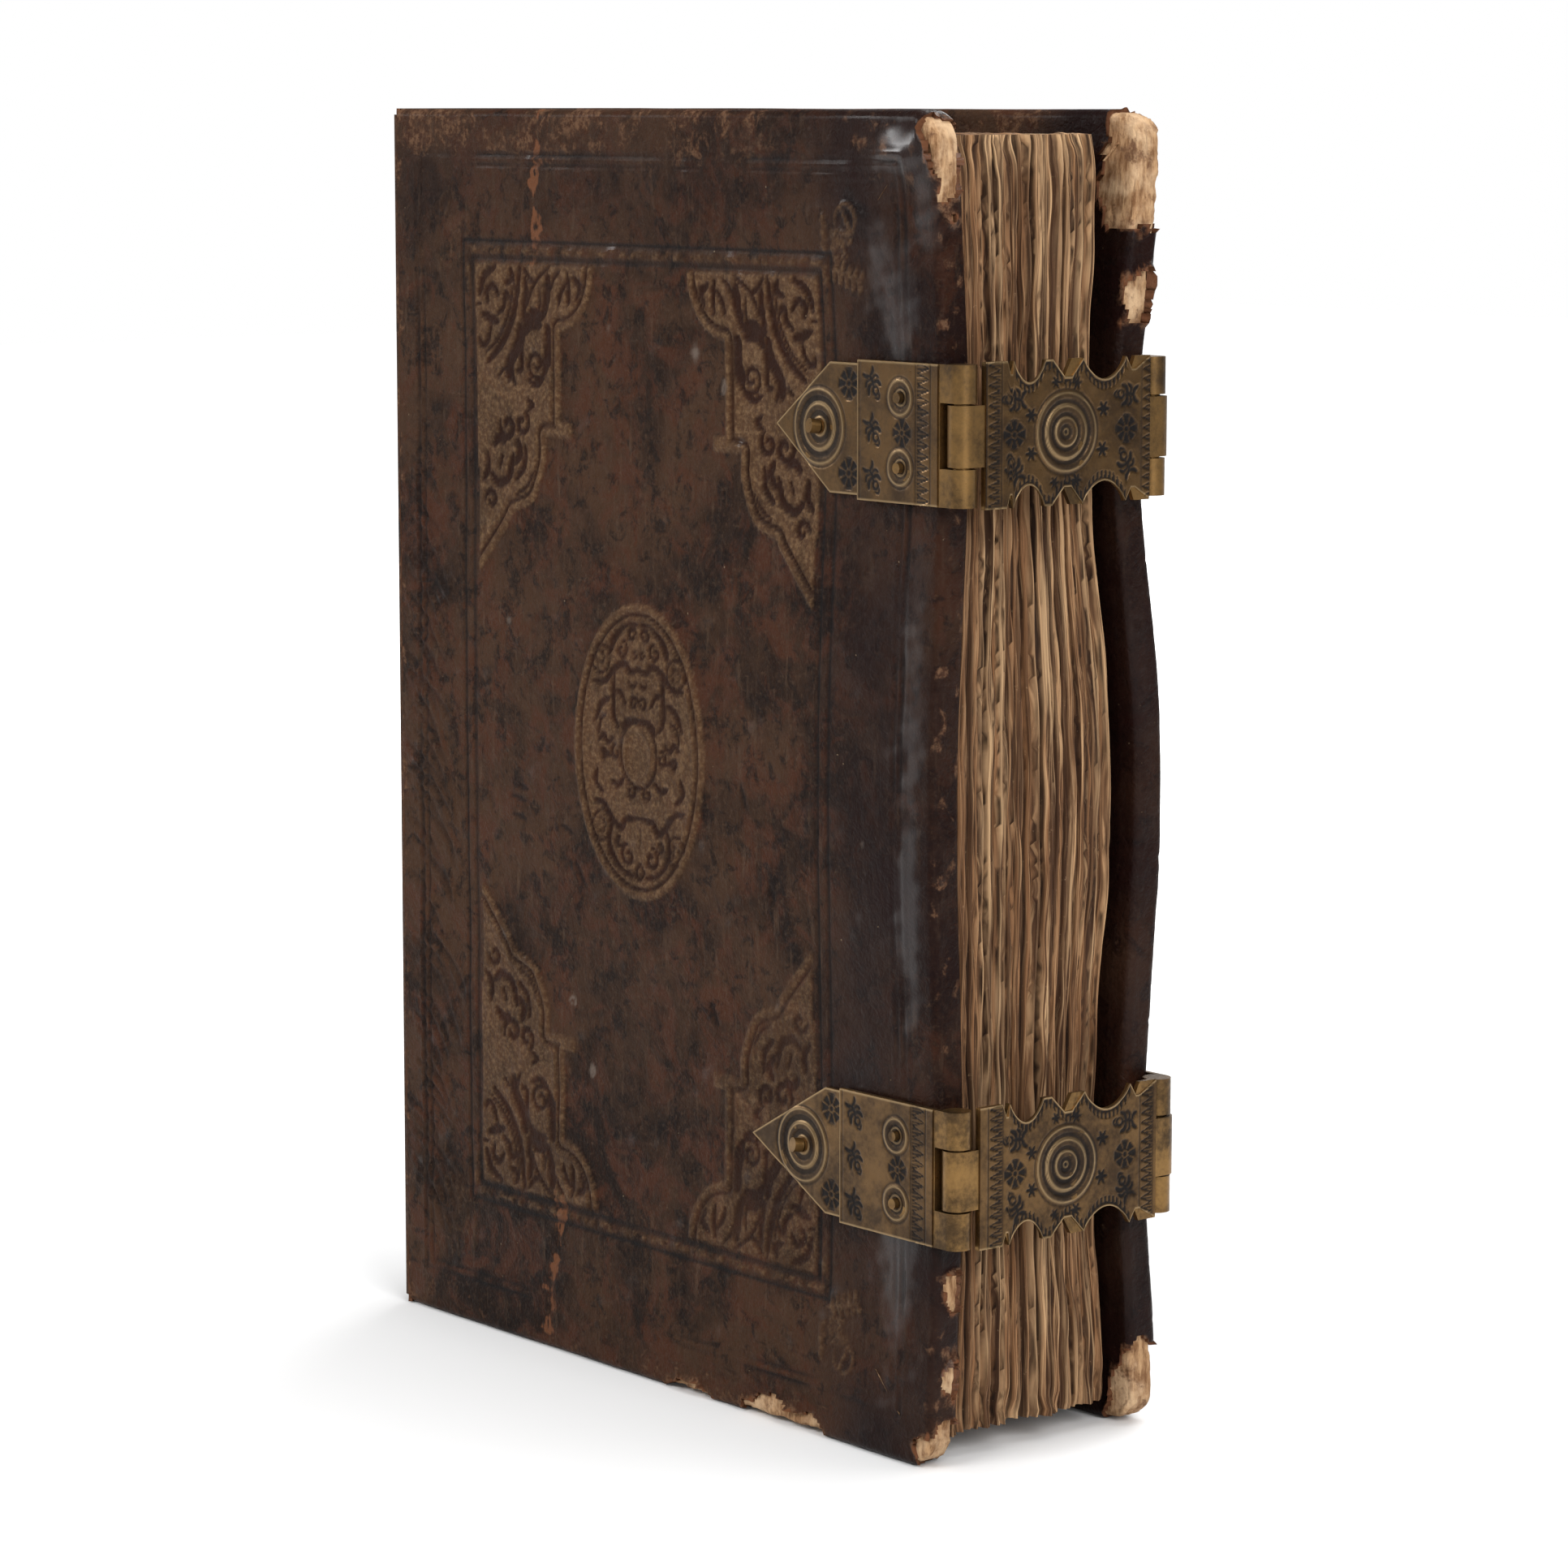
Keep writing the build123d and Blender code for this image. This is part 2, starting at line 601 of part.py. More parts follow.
def blade_half(length):
    """The upper edge of a clasp's blade, as points and arcs along it from the hinge."""
    top = KNUCKLE_HALF

    def at(share, depth=0.0):
        return (share * length, top - depth)

    return [
        Line((0, 0), at(0)),
        Line(at(0), at(BAR_END)),
        Line(at(BAR_END), at(NOTCH_FOOT, NOTCH_DEPTH)),
        Line(at(NOTCH_FOOT, NOTCH_DEPTH), at(SPIKE)),
        ThreePointArc(at(SPIKE), at((SPIKE + SCOOP_END) / 2, SCOOP_DEPTH), at(SCOOP_END)),
        Line(at(SCOOP_END), at(CUT_START)),
        Line(at(CUT_START), at(CUT_FOOT, CUT_DEPTH)),
        Line(at(CUT_FOOT, CUT_DEPTH), at(CUT_END)),
        Line(at(CUT_END), at(BIG_SCOOP_START)),
        ThreePointArc(
            at(BIG_SCOOP_START), at((BIG_SCOOP_START + FAR_SPIKE) / 2, SCOOP_DEPTH), at(FAR_SPIKE)
        ),
        Line(at(FAR_SPIKE), at(FAR_NOTCH_FOOT, NOTCH_DEPTH)),
        Line(at(FAR_NOTCH_FOOT, NOTCH_DEPTH), at(FAR_BAR)),
        Line(at(FAR_BAR), at(1)),
        Line(at(1), (length, 0)),
        Line((length, 0), (0, 0)),
    ]


def clasp_arm(z):
    """A blade with a knuckle round the hinge pin at one end and a hook at the other."""
    start_y = hinge_y(z)
    end_y = catch_y(z)
    blade_start = start_y + BARREL_RADIUS + SWING_CLEAR
    blade_end = end_y - BARREL_RADIUS - SWING_CLEAR
    inner_x = HINGE_X + BORE_RADIUS
    upper = make_face(Curve() + blade_half(blade_end - blade_start))
    blade_face = upper + upper.mirror(Plane.XZ)
    blade = Pos(inner_x, blade_start, 0) * extrude(Plane.YZ * blade_face, amount=SHEET)
    tab = Pos(inner_x + SHEET / 2, (start_y + end_y) / 2, 0) * Box(
        SHEET, end_y - start_y, 2 * MIDDLE_HALF
    )
    knuckle = level_prism(Pos(HINGE_X, start_y) * Circle(BARREL_RADIUS), -MIDDLE_HALF, MIDDLE_HALF)
    bore = level_prism(Pos(HINGE_X, start_y) * Circle(BORE_RADIUS), -KNUCKLE_HALF, KNUCKLE_HALF)
    curl = Circle(HOOK_RADIUS + SHEET) - Circle(HOOK_RADIUS)
    quarter = curl & (Pos(HOOK_RADIUS, HOOK_RADIUS) * Rectangle(2 * HOOK_RADIUS, 2 * HOOK_RADIUS))
    lip = Pos(-SHEET / 2, HOOK_RADIUS + SHEET / 2) * Rectangle(SHEET, SHEET)
    hook = level_prism(Pos(CATCH_X, end_y) * (quarter + lip), -MIDDLE_HALF, MIDDLE_HALF)
    arm = blade + tab + knuckle - bore + hook
    for share in ARM_RINGS:
        boss = ring((blade_end - blade_start) * ROUNDEL_PLACE, 0, ARM_ROUNDEL_RADIUS * share, RING_WIDTH)
        arm = arm + Pos(inner_x + SHEET, blade_start, 0) * extrude(Plane.YZ * boss, amount=RING_HEIGHT)
    return Pos(0, 0, z) * arm


def rivet(x, z, radius, face, side, proud):
    """A round rivet set through a plate into the board."""
    low, high = sorted((face + side * proud, face - side * RIVET_DEPTH))
    return upright_between(Pos(x, z) * Circle(radius), low, high)


def large_rivet(z, shape):
    """The rivet of a roundel, its soft end bent over as it stands today."""
    x = COVER_WIDTH - shape[2]
    face = cover_face(FRONT, FRONT_BOW, COVER_WIDTH, z) + PLATE_INLET - SHEET
    stem = rivet(x, z, LARGE_RIVET, face, FRONT, RIVET_PROUD / 2)
    stub = Cylinder(LARGE_RIVET, RIVET_BEND, align=(Align.CENTER, Align.CENTER, Align.MIN))
    bent = Pos(x, face - RIVET_PROUD / 2, z) * Rot(0, -RIVET_LEAN, 0) * Rot(RIVET_TURN, 0, 0) * stub
    return stem + bent


def clasp_sets():
    return [("upper", UPPER_CLASP, UPPER_ANCHOR), ("lower", LOWER_CLASP, LOWER_ANCHOR)]


def seated(leather, wood, side, bows):
    """Let the brass plates into the leather, and drill both for the rivets."""
    recesses = []
    holes = []
    for _, z, shape in clasp_sets():
        face = cover_face(side, bows, COVER_WIDTH, z)
        seat = face - side * PLATE_INLET
        if side == FRONT:
            outline = plate_outline(shape[0], shape[1], shape[3], FIT)
            wide = Pos(COVER_WIDTH - shape[0] / 2, 0) * Rectangle(shape[0] + 2 * FIT, 2 * (PLATE_HALF + FIT))
            outline = outline + wide
            places = [(COVER_WIDTH - shape[2], 0, LARGE_RIVET)]
            small_x = COVER_WIDTH - SMALL_RIVET_INSET
            places += [(small_x, level, SMALL_RIVET) for level in (-SMALL_RIVET_SPREAD, SMALL_RIVET_SPREAD)]
        else:
            outline = Pos(COVER_WIDTH - CATCH_LENGTH / 2, 0) * Rectangle(
                CATCH_LENGTH + 2 * FIT, 2 * (PLATE_HALF + FIT)
            )
            places = [(x, level, SMALL_RIVET) for x, level in catch_rivet_places()]
        low, high = sorted((seat, seat + side * 2 * COVER_THICKNESS))
        recesses.append(Pos(0, 0, z) * upright_between(outline, low, high))
        for x, level, radius in places:
            low, high = sorted((seat + side * COVER_THICKNESS, seat - side * (RIVET_DEPTH + FIT)))
            holes.append(upright_between(Pos(x, z + level) * Circle(radius + FIT / 2), low, high))
    leather = leather - recesses - holes
    wood = wood - holes
    return leather, wood


def whole_psalter():
    """Every piece, by name."""
    front_board = board(FRONT, FRONT_BOW)
    back_board = board(BACK, BACK_BOW)
    front_leather = covering(FRONT, FRONT_BOW, front_board)
    back_leather = covering(BACK, BACK_BOW, back_board)
    front_leather = ornamented(front_leather, FRONT_BOW)
    front_leather, front_board = seated(front_leather, front_board, FRONT, FRONT_BOW)
    back_leather, back_board = seated(back_leather, back_board, BACK, BACK_BOW)
    pieces = {
        "text_block": text_block(),
        "spine_leather": spine_leather(),
        "headband": endband(HEIGHT - SQUARE + FIT + ENDBAND_RADIUS),
        "tailband": endband(SQUARE - FIT - ENDBAND_RADIUS),
        "front_board": front_board,
        "front_leather": front_leather,
        "front_pastedown": pastedown(FRONT, FRONT_BOW),
        "back_board": back_board,
        "back_leather": back_leather,
        "back_pastedown": pastedown(BACK, BACK_BOW),
    }
    for index, height in enumerate(band_heights()):
        pieces[f"band_{index + 1}"] = band(height)
    large = []
    small = []
    catch = []
    for name, z, shape in clasp_sets():
        pieces[f"{name}_anchor_plate"] = anchor_plate(z, shape)
        pieces[f"{name}_hinge_pin"] = pin(HINGE_X, hinge_y(z), z)
        pieces[f"{name}_clasp_arm"] = clasp_arm(z)
        pieces[f"{name}_catch_plate"] = catch_plate(z)
        pieces[f"{name}_catch_pin"] = pin(CATCH_X, catch_y(z), z)
        large.append(large_rivet(z, shape))
        front_face = cover_face(FRONT, FRONT_BOW, COVER_WIDTH, z) + PLATE_INLET - 2 * SHEET
        back_face = cover_face(BACK, BACK_BOW, COVER_WIDTH, z) - PLATE_INLET + SHEET
        for level in (-SMALL_RIVET_SPREAD, SMALL_RIVET_SPREAD):
            x = COVER_WIDTH - SMALL_RIVET_INSET
            small.append(rivet(x, z + level, SMALL_RIVET, front_face, FRONT, RIVET_PROUD))
        for x, level in catch_rivet_places():
            catch.append(rivet(x, z + level, SMALL_RIVET, back_face, BACK, RIVET_PROUD / 2))
    pieces["large_rivets"] = Compound(large)
    pieces["small_rivets"] = Compound(small)
    pieces["catch_rivets"] = Compound(catch)
    return pieces


def main():
    pieces = whole_psalter()
    box = Compound(list(pieces.values())).bounding_box()
    middle = box.center()
    to_origin = Pos(-middle.X, -middle.Y, -box.min.Z)
    os.makedirs("parts", exist_ok=True)
    for name, piece in pieces.items():
        export_step(to_origin * piece, f"parts/{name}.step")
    print("joints at x", round(-middle.X, 3), "y", round(-HALF - middle.Y, 3), round(HALF - middle.Y, 3))
    for name, z, _ in clasp_sets():
        print(name, "hinge pin at", round(HINGE_X - middle.X, 3), round(hinge_y(z) - middle.Y, 3), z)
    print("size", [round(value, 2) for value in box.size])


main()
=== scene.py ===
import json
import math

import bpy
import numpy as np
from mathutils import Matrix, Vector


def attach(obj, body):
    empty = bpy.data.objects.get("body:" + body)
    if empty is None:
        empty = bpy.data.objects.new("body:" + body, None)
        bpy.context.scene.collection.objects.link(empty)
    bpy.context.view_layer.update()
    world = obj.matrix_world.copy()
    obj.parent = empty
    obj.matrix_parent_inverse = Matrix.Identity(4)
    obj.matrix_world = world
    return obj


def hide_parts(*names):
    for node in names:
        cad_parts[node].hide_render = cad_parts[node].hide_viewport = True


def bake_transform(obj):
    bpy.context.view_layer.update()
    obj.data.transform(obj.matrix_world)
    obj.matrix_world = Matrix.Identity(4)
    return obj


# An old leather psalter with two brass clasps. Sizes are millimetres in the book's own frame:
# x runs from the joints to the fore-edge, y from the front cover to the back, z from tail to head.
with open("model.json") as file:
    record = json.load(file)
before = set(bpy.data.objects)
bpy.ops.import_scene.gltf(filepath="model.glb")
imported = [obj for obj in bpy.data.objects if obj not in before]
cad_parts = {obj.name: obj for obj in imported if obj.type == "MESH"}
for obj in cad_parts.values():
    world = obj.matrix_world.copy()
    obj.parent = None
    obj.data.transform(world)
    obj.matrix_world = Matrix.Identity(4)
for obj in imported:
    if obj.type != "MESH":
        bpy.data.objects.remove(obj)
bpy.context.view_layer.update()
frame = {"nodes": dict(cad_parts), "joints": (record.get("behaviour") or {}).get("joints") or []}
MM = 0.001

# The book
HEIGHT = 200.0
WIDTH = 136.5
HALF = 20.75
THICK = 5.6
LEATHER = 0.8
JOINT_GAP = 0.15
SQUARE = 3.6
SOFT_GAP = 0.35
TURN_IN = 13.0
ARRIS = 1.3
CORNER = 5.0
CORNER_STEPS = 12
UPPER = 153.5
LOWER = 44.5
STATIONS = (0.0, LOWER, (LOWER + UPPER) / 2, UPPER, HEIGHT)
FRONT_BOW = (1.8, 0.5, 1.9, 0.1, 2.0)
BACK_BOW = (3.0, 0.6, 3.2, -2.0, 2.4)
BLOCK_BACK_GAP = (0.5, 1.2, 0.8, 1.4, 4.6)
GATHERINGS = 14
SPINE_ROUND = 7.0
SPINE_RADIUS = (HALF**2 + SPINE_ROUND**2) / (2 * SPINE_ROUND)
SPINE_CENTRE = SPINE_RADIUS - SPINE_ROUND
BANDS = tuple(56.2 + 32.4 * index for index in range(4))
BAND_RISE = 2.3
BAND_SWEEP = 30.6
FRONT = -1
BACK = 1

# Panel and stamped ornament
PANEL_LEFT = 21.8
PANEL_RIGHT = 109.1
PANEL_BOTTOM = 24.7
PANEL_TOP = 175.8
FRAME_WIDTH = 4.9
CORNER_PIECE = (31.8, 22.7, 10.5, 24.9)
CORNER_BAR = (25.6, 27.3)
CORNER_LOBE = (18.9, 34.2)
CORNER_CUSP = (10.2, 40.0)
CORNER_TIP = (1.0, 50.0)
MEDALLION = (16.8, 23.4)

# Brass
SHEET = 0.75
BORE_RADIUS = 1.4
BARREL_RADIUS = 2.15
HINGE_OUT = 3.4
HINGE_X = WIDTH + HINGE_OUT
PLATE_HALF = 10.3
LEAF_HALF = 9.7
KNUCKLE_HALF = 10.65
PLATE_INLET = 0.05
STAMP_LIFT = 0.2
SKIN_DEPTH = 0.1
STAMP_SPACING = 0.2
STAMP_DEPTH = 0.14
LIP_HEIGHT = 0.14
SWING_CLEAR = 0.3
ROUNDEL = 5.5
SMALL_ROUNDEL = 2.5
SMALL_RIVET_INSET = 7.7
SMALL_RIVET_SPREAD = 5.1
ARM_ROUNDEL = 5.7
ARM_RINGS = (1.0, 0.66, 0.36)
ROUNDEL_PLACE = 0.483
CLASPS = {
    "upper": (UPPER, (17.3, 24.4, 26.9, 36.9)),
    "lower": (LOWER, (20.6, 24.8, 30.2, 42.3)),
}

FAR = 1e3
hinges = {joint["name"]: joint["pos_m"] for joint in frame["joints"]}
JOINT_X = hinges["front_cover_hinge"][0]
MIDDLE_Y = (hinges["front_cover_hinge"][1] + hinges["back_cover_hinge"][1]) / 2


# Smooth random fields and steps

def waves(seed, shortest, longest, count=14):
    """A smooth random field of about unit size, made of sine waves between two lengths."""
    rng = np.random.default_rng(seed)
    lengths = np.exp(rng.uniform(math.log(shortest), math.log(longest), count))
    directions = rng.normal(size=(count, 3))
    directions /= np.linalg.norm(directions, axis=1)[:, None]
    turns = directions * (2 * math.pi / lengths)[:, None]
    starts = rng.uniform(0, 2 * math.pi, count)
    sizes = np.sqrt(lengths / lengths.max())
    scale = 1 / math.sqrt((sizes**2).sum() / 2)

    def value(x, y, z):
        total = 0.0
        for turn, start, size in zip(turns, starts, sizes):
            total = total + size * np.sin(turn[0] * x + turn[1] * y + turn[2] * z + start)
        return total * scale

    return value


def step(low, high, value):
    """A soft step from 0 at low to 1 at high."""
    share = np.clip((value - low) / (high - low), 0, 1)
    return share * share * (3 - 2 * share)


def bump(distance, width):
    """A rounded ridge of height 1 at distance 0."""
    return 1 - step(0, width, np.abs(distance))


# Shape of the covers

def bow_at(bows, z):
    level = np.clip(z, STATIONS[0], STATIONS[-1])
    result = np.zeros(np.shape(level))
    spans = list(zip(STATIONS, STATIONS[1:], bows, bows[1:]))
    for low, high, start, end in reversed(spans):
        ease = (1 - np.cos(np.pi * (level - low) / (high - low))) / 2
        result = np.where(level <= high, start + (end - start) * ease, result)
    return result


def cover_face(side, bows, x, z):
    return side * (HALF + bow_at(bows, z) * x / WIDTH)


def cover_points(side, bows, x, z, depth):
    y = cover_face(side, bows, x, z) - side * depth
    return np.stack([x, y, z], axis=-1)


def grid_normals(points):
    along = np.gradient(points, axis=0)
    across = np.gradient(points, axis=1)
    normals = np.cross(along, across)
    return normals / np.maximum(np.linalg.norm(normals, axis=-1, keepdims=True), 1e-9)


# Meshes

def to_frame(points):
    """From millimetres in the book's frame to metres in the model's frame."""
    moved = np.asarray(points, float) * MM
    moved[..., 0] += JOINT_X
    moved[..., 1] += MIDDLE_Y
    return moved


def mesh_piece(name, points, faces, material, fields=None):
    """A piece from an array of points and an array of four-cornered faces."""
    used = np.unique(faces)
    renumber = np.full(len(points), -1)
    renumber[used] = np.arange(len(used))
    points = points[used]
    faces = renumber[faces]
    mesh = bpy.data.meshes.new(name)
    mesh.vertices.add(len(points))
    mesh.vertices.foreach_set("co", to_frame(points).astype(np.float32).ravel())
    mesh.loops.add(faces.size)
    mesh.loops.foreach_set("vertex_index", faces.astype(np.int32).ravel())
    mesh.polygons.add(len(faces))
    mesh.polygons.foreach_set("loop_start", np.arange(0, faces.size, 4, dtype=np.int32))
    mesh.update(calc_edges=True)
    mesh.polygons.foreach_set("use_smooth", np.ones(len(faces), bool))
    for key, values in (fields or {}).items():
        attribute = mesh.attributes.new(key, "FLOAT", "POINT")
        attribute.data.foreach_set("value", values[used].astype(np.float32))
    mesh.materials.append(material)
    mesh.update()
    piece = bpy.data.objects.new(name, mesh)
    bpy.context.scene.collection.objects.link(piece)
    return piece


def grid_faces(numbers, keep, flip):
    """Four-cornered faces over a grid of point numbers, where keep is true."""
    corners = [numbers[:-1, :-1], numbers[1:, :-1], numbers[1:, 1:], numbers[:-1, 1:]]
    if flip:
        corners.reverse()
    return np.stack([corner[keep] for corner in corners], axis=-1)


def edge_pairs(numbers, keep):
    """Pairs of neighbouring points along the border of what is kept."""
    padded = np.pad(keep, 1)
    rows = padded[:-1, 1:-1] != padded[1:, 1:-1]
    columns = padded[1:-1, :-1] != padded[1:-1, 1:]
    first = np.concatenate([numbers[:, :-1][rows], numbers[:-1, :][columns]])
    second = np.concatenate([numbers[:, 1:][rows], numbers[1:, :][columns]])
    return first, second


def grid_piece(name, points, material, fields, keep=None, rim=None, flip=False, seams=()):
    """A sheet from a grid of points. rim gives how far each point's lower edge lies below it.
    seams names the sides of the grid, as index expressions, that get no wall."""
    rows, columns = points.shape[:2]
    numbers = np.arange(rows * columns).reshape(rows, columns)
    if keep is None:
        keep = np.ones((rows - 1, columns - 1), bool)
    faces = grid_faces(numbers, keep, flip)
    flat = points.reshape(-1, 3)
    values = {key: np.broadcast_to(value, (rows, columns)).ravel() for key, value in fields.items()}
    if rim is not None:
        first, second = edge_pairs(numbers, keep)
        sewn = np.zeros((rows, columns), bool)
        for seam in seams:
            sewn[seam] = True
        open_edge = ~(sewn.ravel()[first] & sewn.ravel()[second])
        first, second = first[open_edge], second[open_edge]
        lower = flat + rim.reshape(-1, 3)
        count = len(flat)
        wall = np.stack([first + count, second + count, second + 2 * count, first + 2 * count], axis=-1)
        faces = np.concatenate([faces, wall])
        flat = np.concatenate([flat, flat, lower])
        values = {key: np.concatenate([value, value, value]) for key, value in values.items()}
        values["rim"] = np.concatenate([np.zeros(count), np.full(count, 0.4), np.ones(count)])
    return mesh_piece(name, flat, faces, material, values)


# Strokes of ornament

def smooth_line(points, steps=6):
    """A smooth curve through given points."""
    points = np.array(points, float)
    if len(points) == 2:
        return points
    padded = np.concatenate([[2 * points[0] - points[1]], points, [2 * points[-1] - points[-2]]])
    curve = []
    for index in range(len(points) - 1):
        a, b, c, d = padded[index:index + 4]
        for share in np.arange(steps) / steps:
            curve.append(0.5 * (
                2 * b + (c - a) * share + (2 * a - 5 * b + 4 * c - d) * share**2
                + (3 * b - a - 3 * c + d) * share**3
            ))
    curve.append(points[-1])
    return np.array(curve)


def spiral(centre, outer, inner, start, sweep, steps=20):
    """A curl that winds inward. Angles are in degrees, counter-clockwise."""
    share = np.linspace(0, 1, steps)
    angle = np.radians(start + sweep * share)
    radius = outer + (inner - outer) * share
    return np.stack([centre[0] + radius * np.cos(angle), centre[1] + radius * np.sin(angle)], axis=-1)


def taper(count, width, ends=0.5):
    share = np.linspace(0, 1, count)
    return width * (ends + (1 - ends) * np.sqrt(np.clip(np.sin(np.pi * share), 0, 1)))


def distance_to(u, v, line, widths, reach=1.5):
    """Signed distance outside a stroke that follows a line with a changing width."""
    best = np.full(u.shape, FAR)
    low = line.min(axis=0) - reach
    high = line.max(axis=0) + reach
    near = (u > low[0]) & (u < high[0]) & (v > low[1]) & (v < high[1])
    if not near.any():
        return best
    pu, pv = u[near], v[near]
    found = np.full(pu.shape, FAR)
    for start, end, first, last in zip(line[:-1], line[1:], widths[:-1], widths[1:]):
        run = end - start
        share = np.clip(((pu - start[0]) * run[0] + (pv - start[1]) * run[1]) / (run @ run + 1e-9), 0, 1)
        gap = np.hypot(pu - start[0] - share * run[0], pv - start[1] - share * run[1])
        found = np.minimum(found, gap - (first + (last - first) * share) / 2)
    best[near] = found
    return best


def inked(u, v, strokes, soft=0.2):
    """How strongly a set of strokes marks each place, from 0 to 1."""
    mark = np.zeros(u.shape)
    for line, width in strokes:
        distance = distance_to(u, v, line, taper(len(line), width * 1.25))
        mark = np.maximum(mark, 1 - step(-soft, soft, distance))
    return mark


def outline_depth(u, v, outline):
    """Depth inside a closed outline and whether inside. The two sides at its first point don't count."""
    closed = np.concatenate([outline, outline[:1]])
    inside = np.zeros(u.shape, bool)
    gap = np.full(u.shape, FAR)
    last = len(closed) - 2
    for index, (start, end) in enumerate(zip(closed[:-1], closed[1:])):
        run = end - start
        if 0 < index < last:
            share = np.clip(((u - start[0]) * run[0] + (v - start[1]) * run[1]) / (run @ run + 1e-9), 0, 1)
            gap = np.minimum(gap, np.hypot(u - start[0] - share * run[0], v - start[1] - share * run[1]))
        crosses = (start[1] > v) != (end[1] > v)
        at = start[0] + run[0] * (v - start[1]) / (run[1] if run[1] else 1e-9)
        inside ^= crosses & (u < at)
    return np.where(inside, gap, -gap), inside


def arc_points(centre, radii, start, end, steps=10):
    angles = np.radians(np.linspace(start, end, steps))
    return np.stack([centre[0] + radii[0] * np.cos(angles), centre[1] + radii[1] * np.sin(angles)], axis=-1)


def corner_outline():
    """A corner piece, as distances across from and down from the panel's corner."""
    width, neck, neck_top, neck_foot = CORNER_PIECE
    parts = [
        np.array([(0, 0)]),
        arc_points((neck, 0), (width - neck, neck_top), 0, 90),
        np.array([(neck, neck_foot), (CORNER_BAR[0], neck_foot), CORNER_BAR]),
        smooth_line([
            (CORNER_LOBE[0], CORNER_BAR[1]),
            (CORNER_LOBE[0], 31.0),
            (CORNER_LOBE[0] - 1.6, 35.2),
            (15.0, 38.3),
            CORNER_CUSP,
        ]),
        smooth_line([CORNER_CUSP, (8.2, 42.6), CORNER_TIP]),
    ]
    return np.concatenate(parts)


# Sunk straps and leaves of the ornament: width, then the points.
# A corner piece is measured across and down from the panel's corner.
CORNER_CURVES = (
    (1.1, (26.6, 2.2), (28.4, 3.6), (27.4, 5.4)),
    (0.8, (24.8, 1.4), (25.3, 4.0), (25.0, 6.6)),
    (0.8, (24.4, 3.0), (23.0, 4.8), (22.4, 6.6)),
    (0.6, (22.8, 1.2), (21.2, 2.4), (20.6, 4.0)),
    (1.5, (19.6, 2.0), (19.4, 5.0), (18.4, 8.4)),
    (1.5, (18.6, 8.3), (15.4, 8.6), (12.8, 8.9)),
    (1.1, (13.4, 2.6), (13.6, 5.0), (12.8, 8.6)),
    (0.5, (17.4, 3.8), (17.2, 7.2), (14.6, 7.4)),
    (0.6, (20.0, 0.6), (17.0, 2.4), (15.0, 4.6), (14.0, 6.8)),
    (0.8, (13.0, 0.8), (14.4, 2.4), (15.8, 3.0)),
    (1.15, (12.0, 0.8), (11.2, 5.0), (9.9, 9.2), (7.2, 13.2), (3.6, 16.0)),
    (0.45, (10.6, 1.6), (9.9, 5.2), (8.6, 9.0), (6.2, 12.4), (3.0, 14.6)),
    (1.0, (9.4, 1.0), (9.9, 2.6), (8.2, 3.4)),
    (1.1, (5.6, 0.8), (2.6, 2.4), (1.3, 5.4)),
    (0.9, (9.7, 6.2), (8.2, 5.0), (7.6, 7.2), (6.2, 8.2)),
    (0.9, (6.2, 5.4), (4.8, 3.9), (3.1, 4.8), (3.5, 6.6)),
    (1.2, (6.2, 9.6), (4.2, 9.2), (2.0, 8.4)),
    (0.8, (4.4, 10.2), (3.4, 12.8), (1.8, 13.5), (1.2, 12.4)),
    (0.7, (1.7, 6.8), (0.6, 7.0)),
    (2.2, (19.6, 10.2), (20.0, 13.2), (18.6, 16.8)),
    (1.6, (17.6, 9.8), (14.6, 9.8), (13.4, 11.0)),
    (1.7, (12.2, 10.0), (11.6, 13.0), (9.4, 16.2), (9.2, 18.6)),
    (0.7, (13.2, 11.0), (12.6, 14.0), (12.5, 17.0), (11.2, 17.3)),
    (0.7, (10.6, 14.4), (9.9, 17.0), (10.7, 19.4)),
    (0.7, (19.2, 16.8), (17.4, 18.3), (14.8, 17.8)),
    (0.8, (18.2, 18.3), (16.2, 19.4), (14.0, 18.5)),
    (0.9, (7.8, 17.0), (6.6, 18.2)),
    (0.7, (14.0, 21.6), (15.4, 22.6), (14.0, 23.4)),
    (1.2, (11.2, 28.4), (11.9, 30.4), (10.7, 32.0)),
    (0.9, (13.4, 29.2), (13.0, 32.4), (10.9, 34.6)),
    (1.2, (10.0, 30.8), (8.8, 34.4), (6.0, 35.4), (4.2, 34.2)),
    (1.2, (7.8, 28.8), (6.2, 28.2), (4.8, 29.4)),
    (0.9, (7.2, 31.0), (6.4, 33.0)),
    (1.0, (3.0, 30.8), (3.2, 33.4), (1.8, 35.2)),
    (0.5, (15.7, 33.0), (13.8, 35.6), (11.2, 37.0)),
    (0.6, (7.6, 40.4), (6.6, 42.4), (2.6, 46.6)),
)
# Sunk curls: width, then centre, outer and inner radius, start and sweep
CORNER_CURLS = (
    (0.6, (16.3, 16.0), 2.2, 0.5, 110, 400),
    (0.8, (12.5, 25.6), 2.0, 0.5, -60, 380),
    (0.9, (8.6, 26.2), 2.3, 0.5, 200, -380),
    (0.8, (4.1, 38.3), 1.7, 0.5, 180, 330),
)
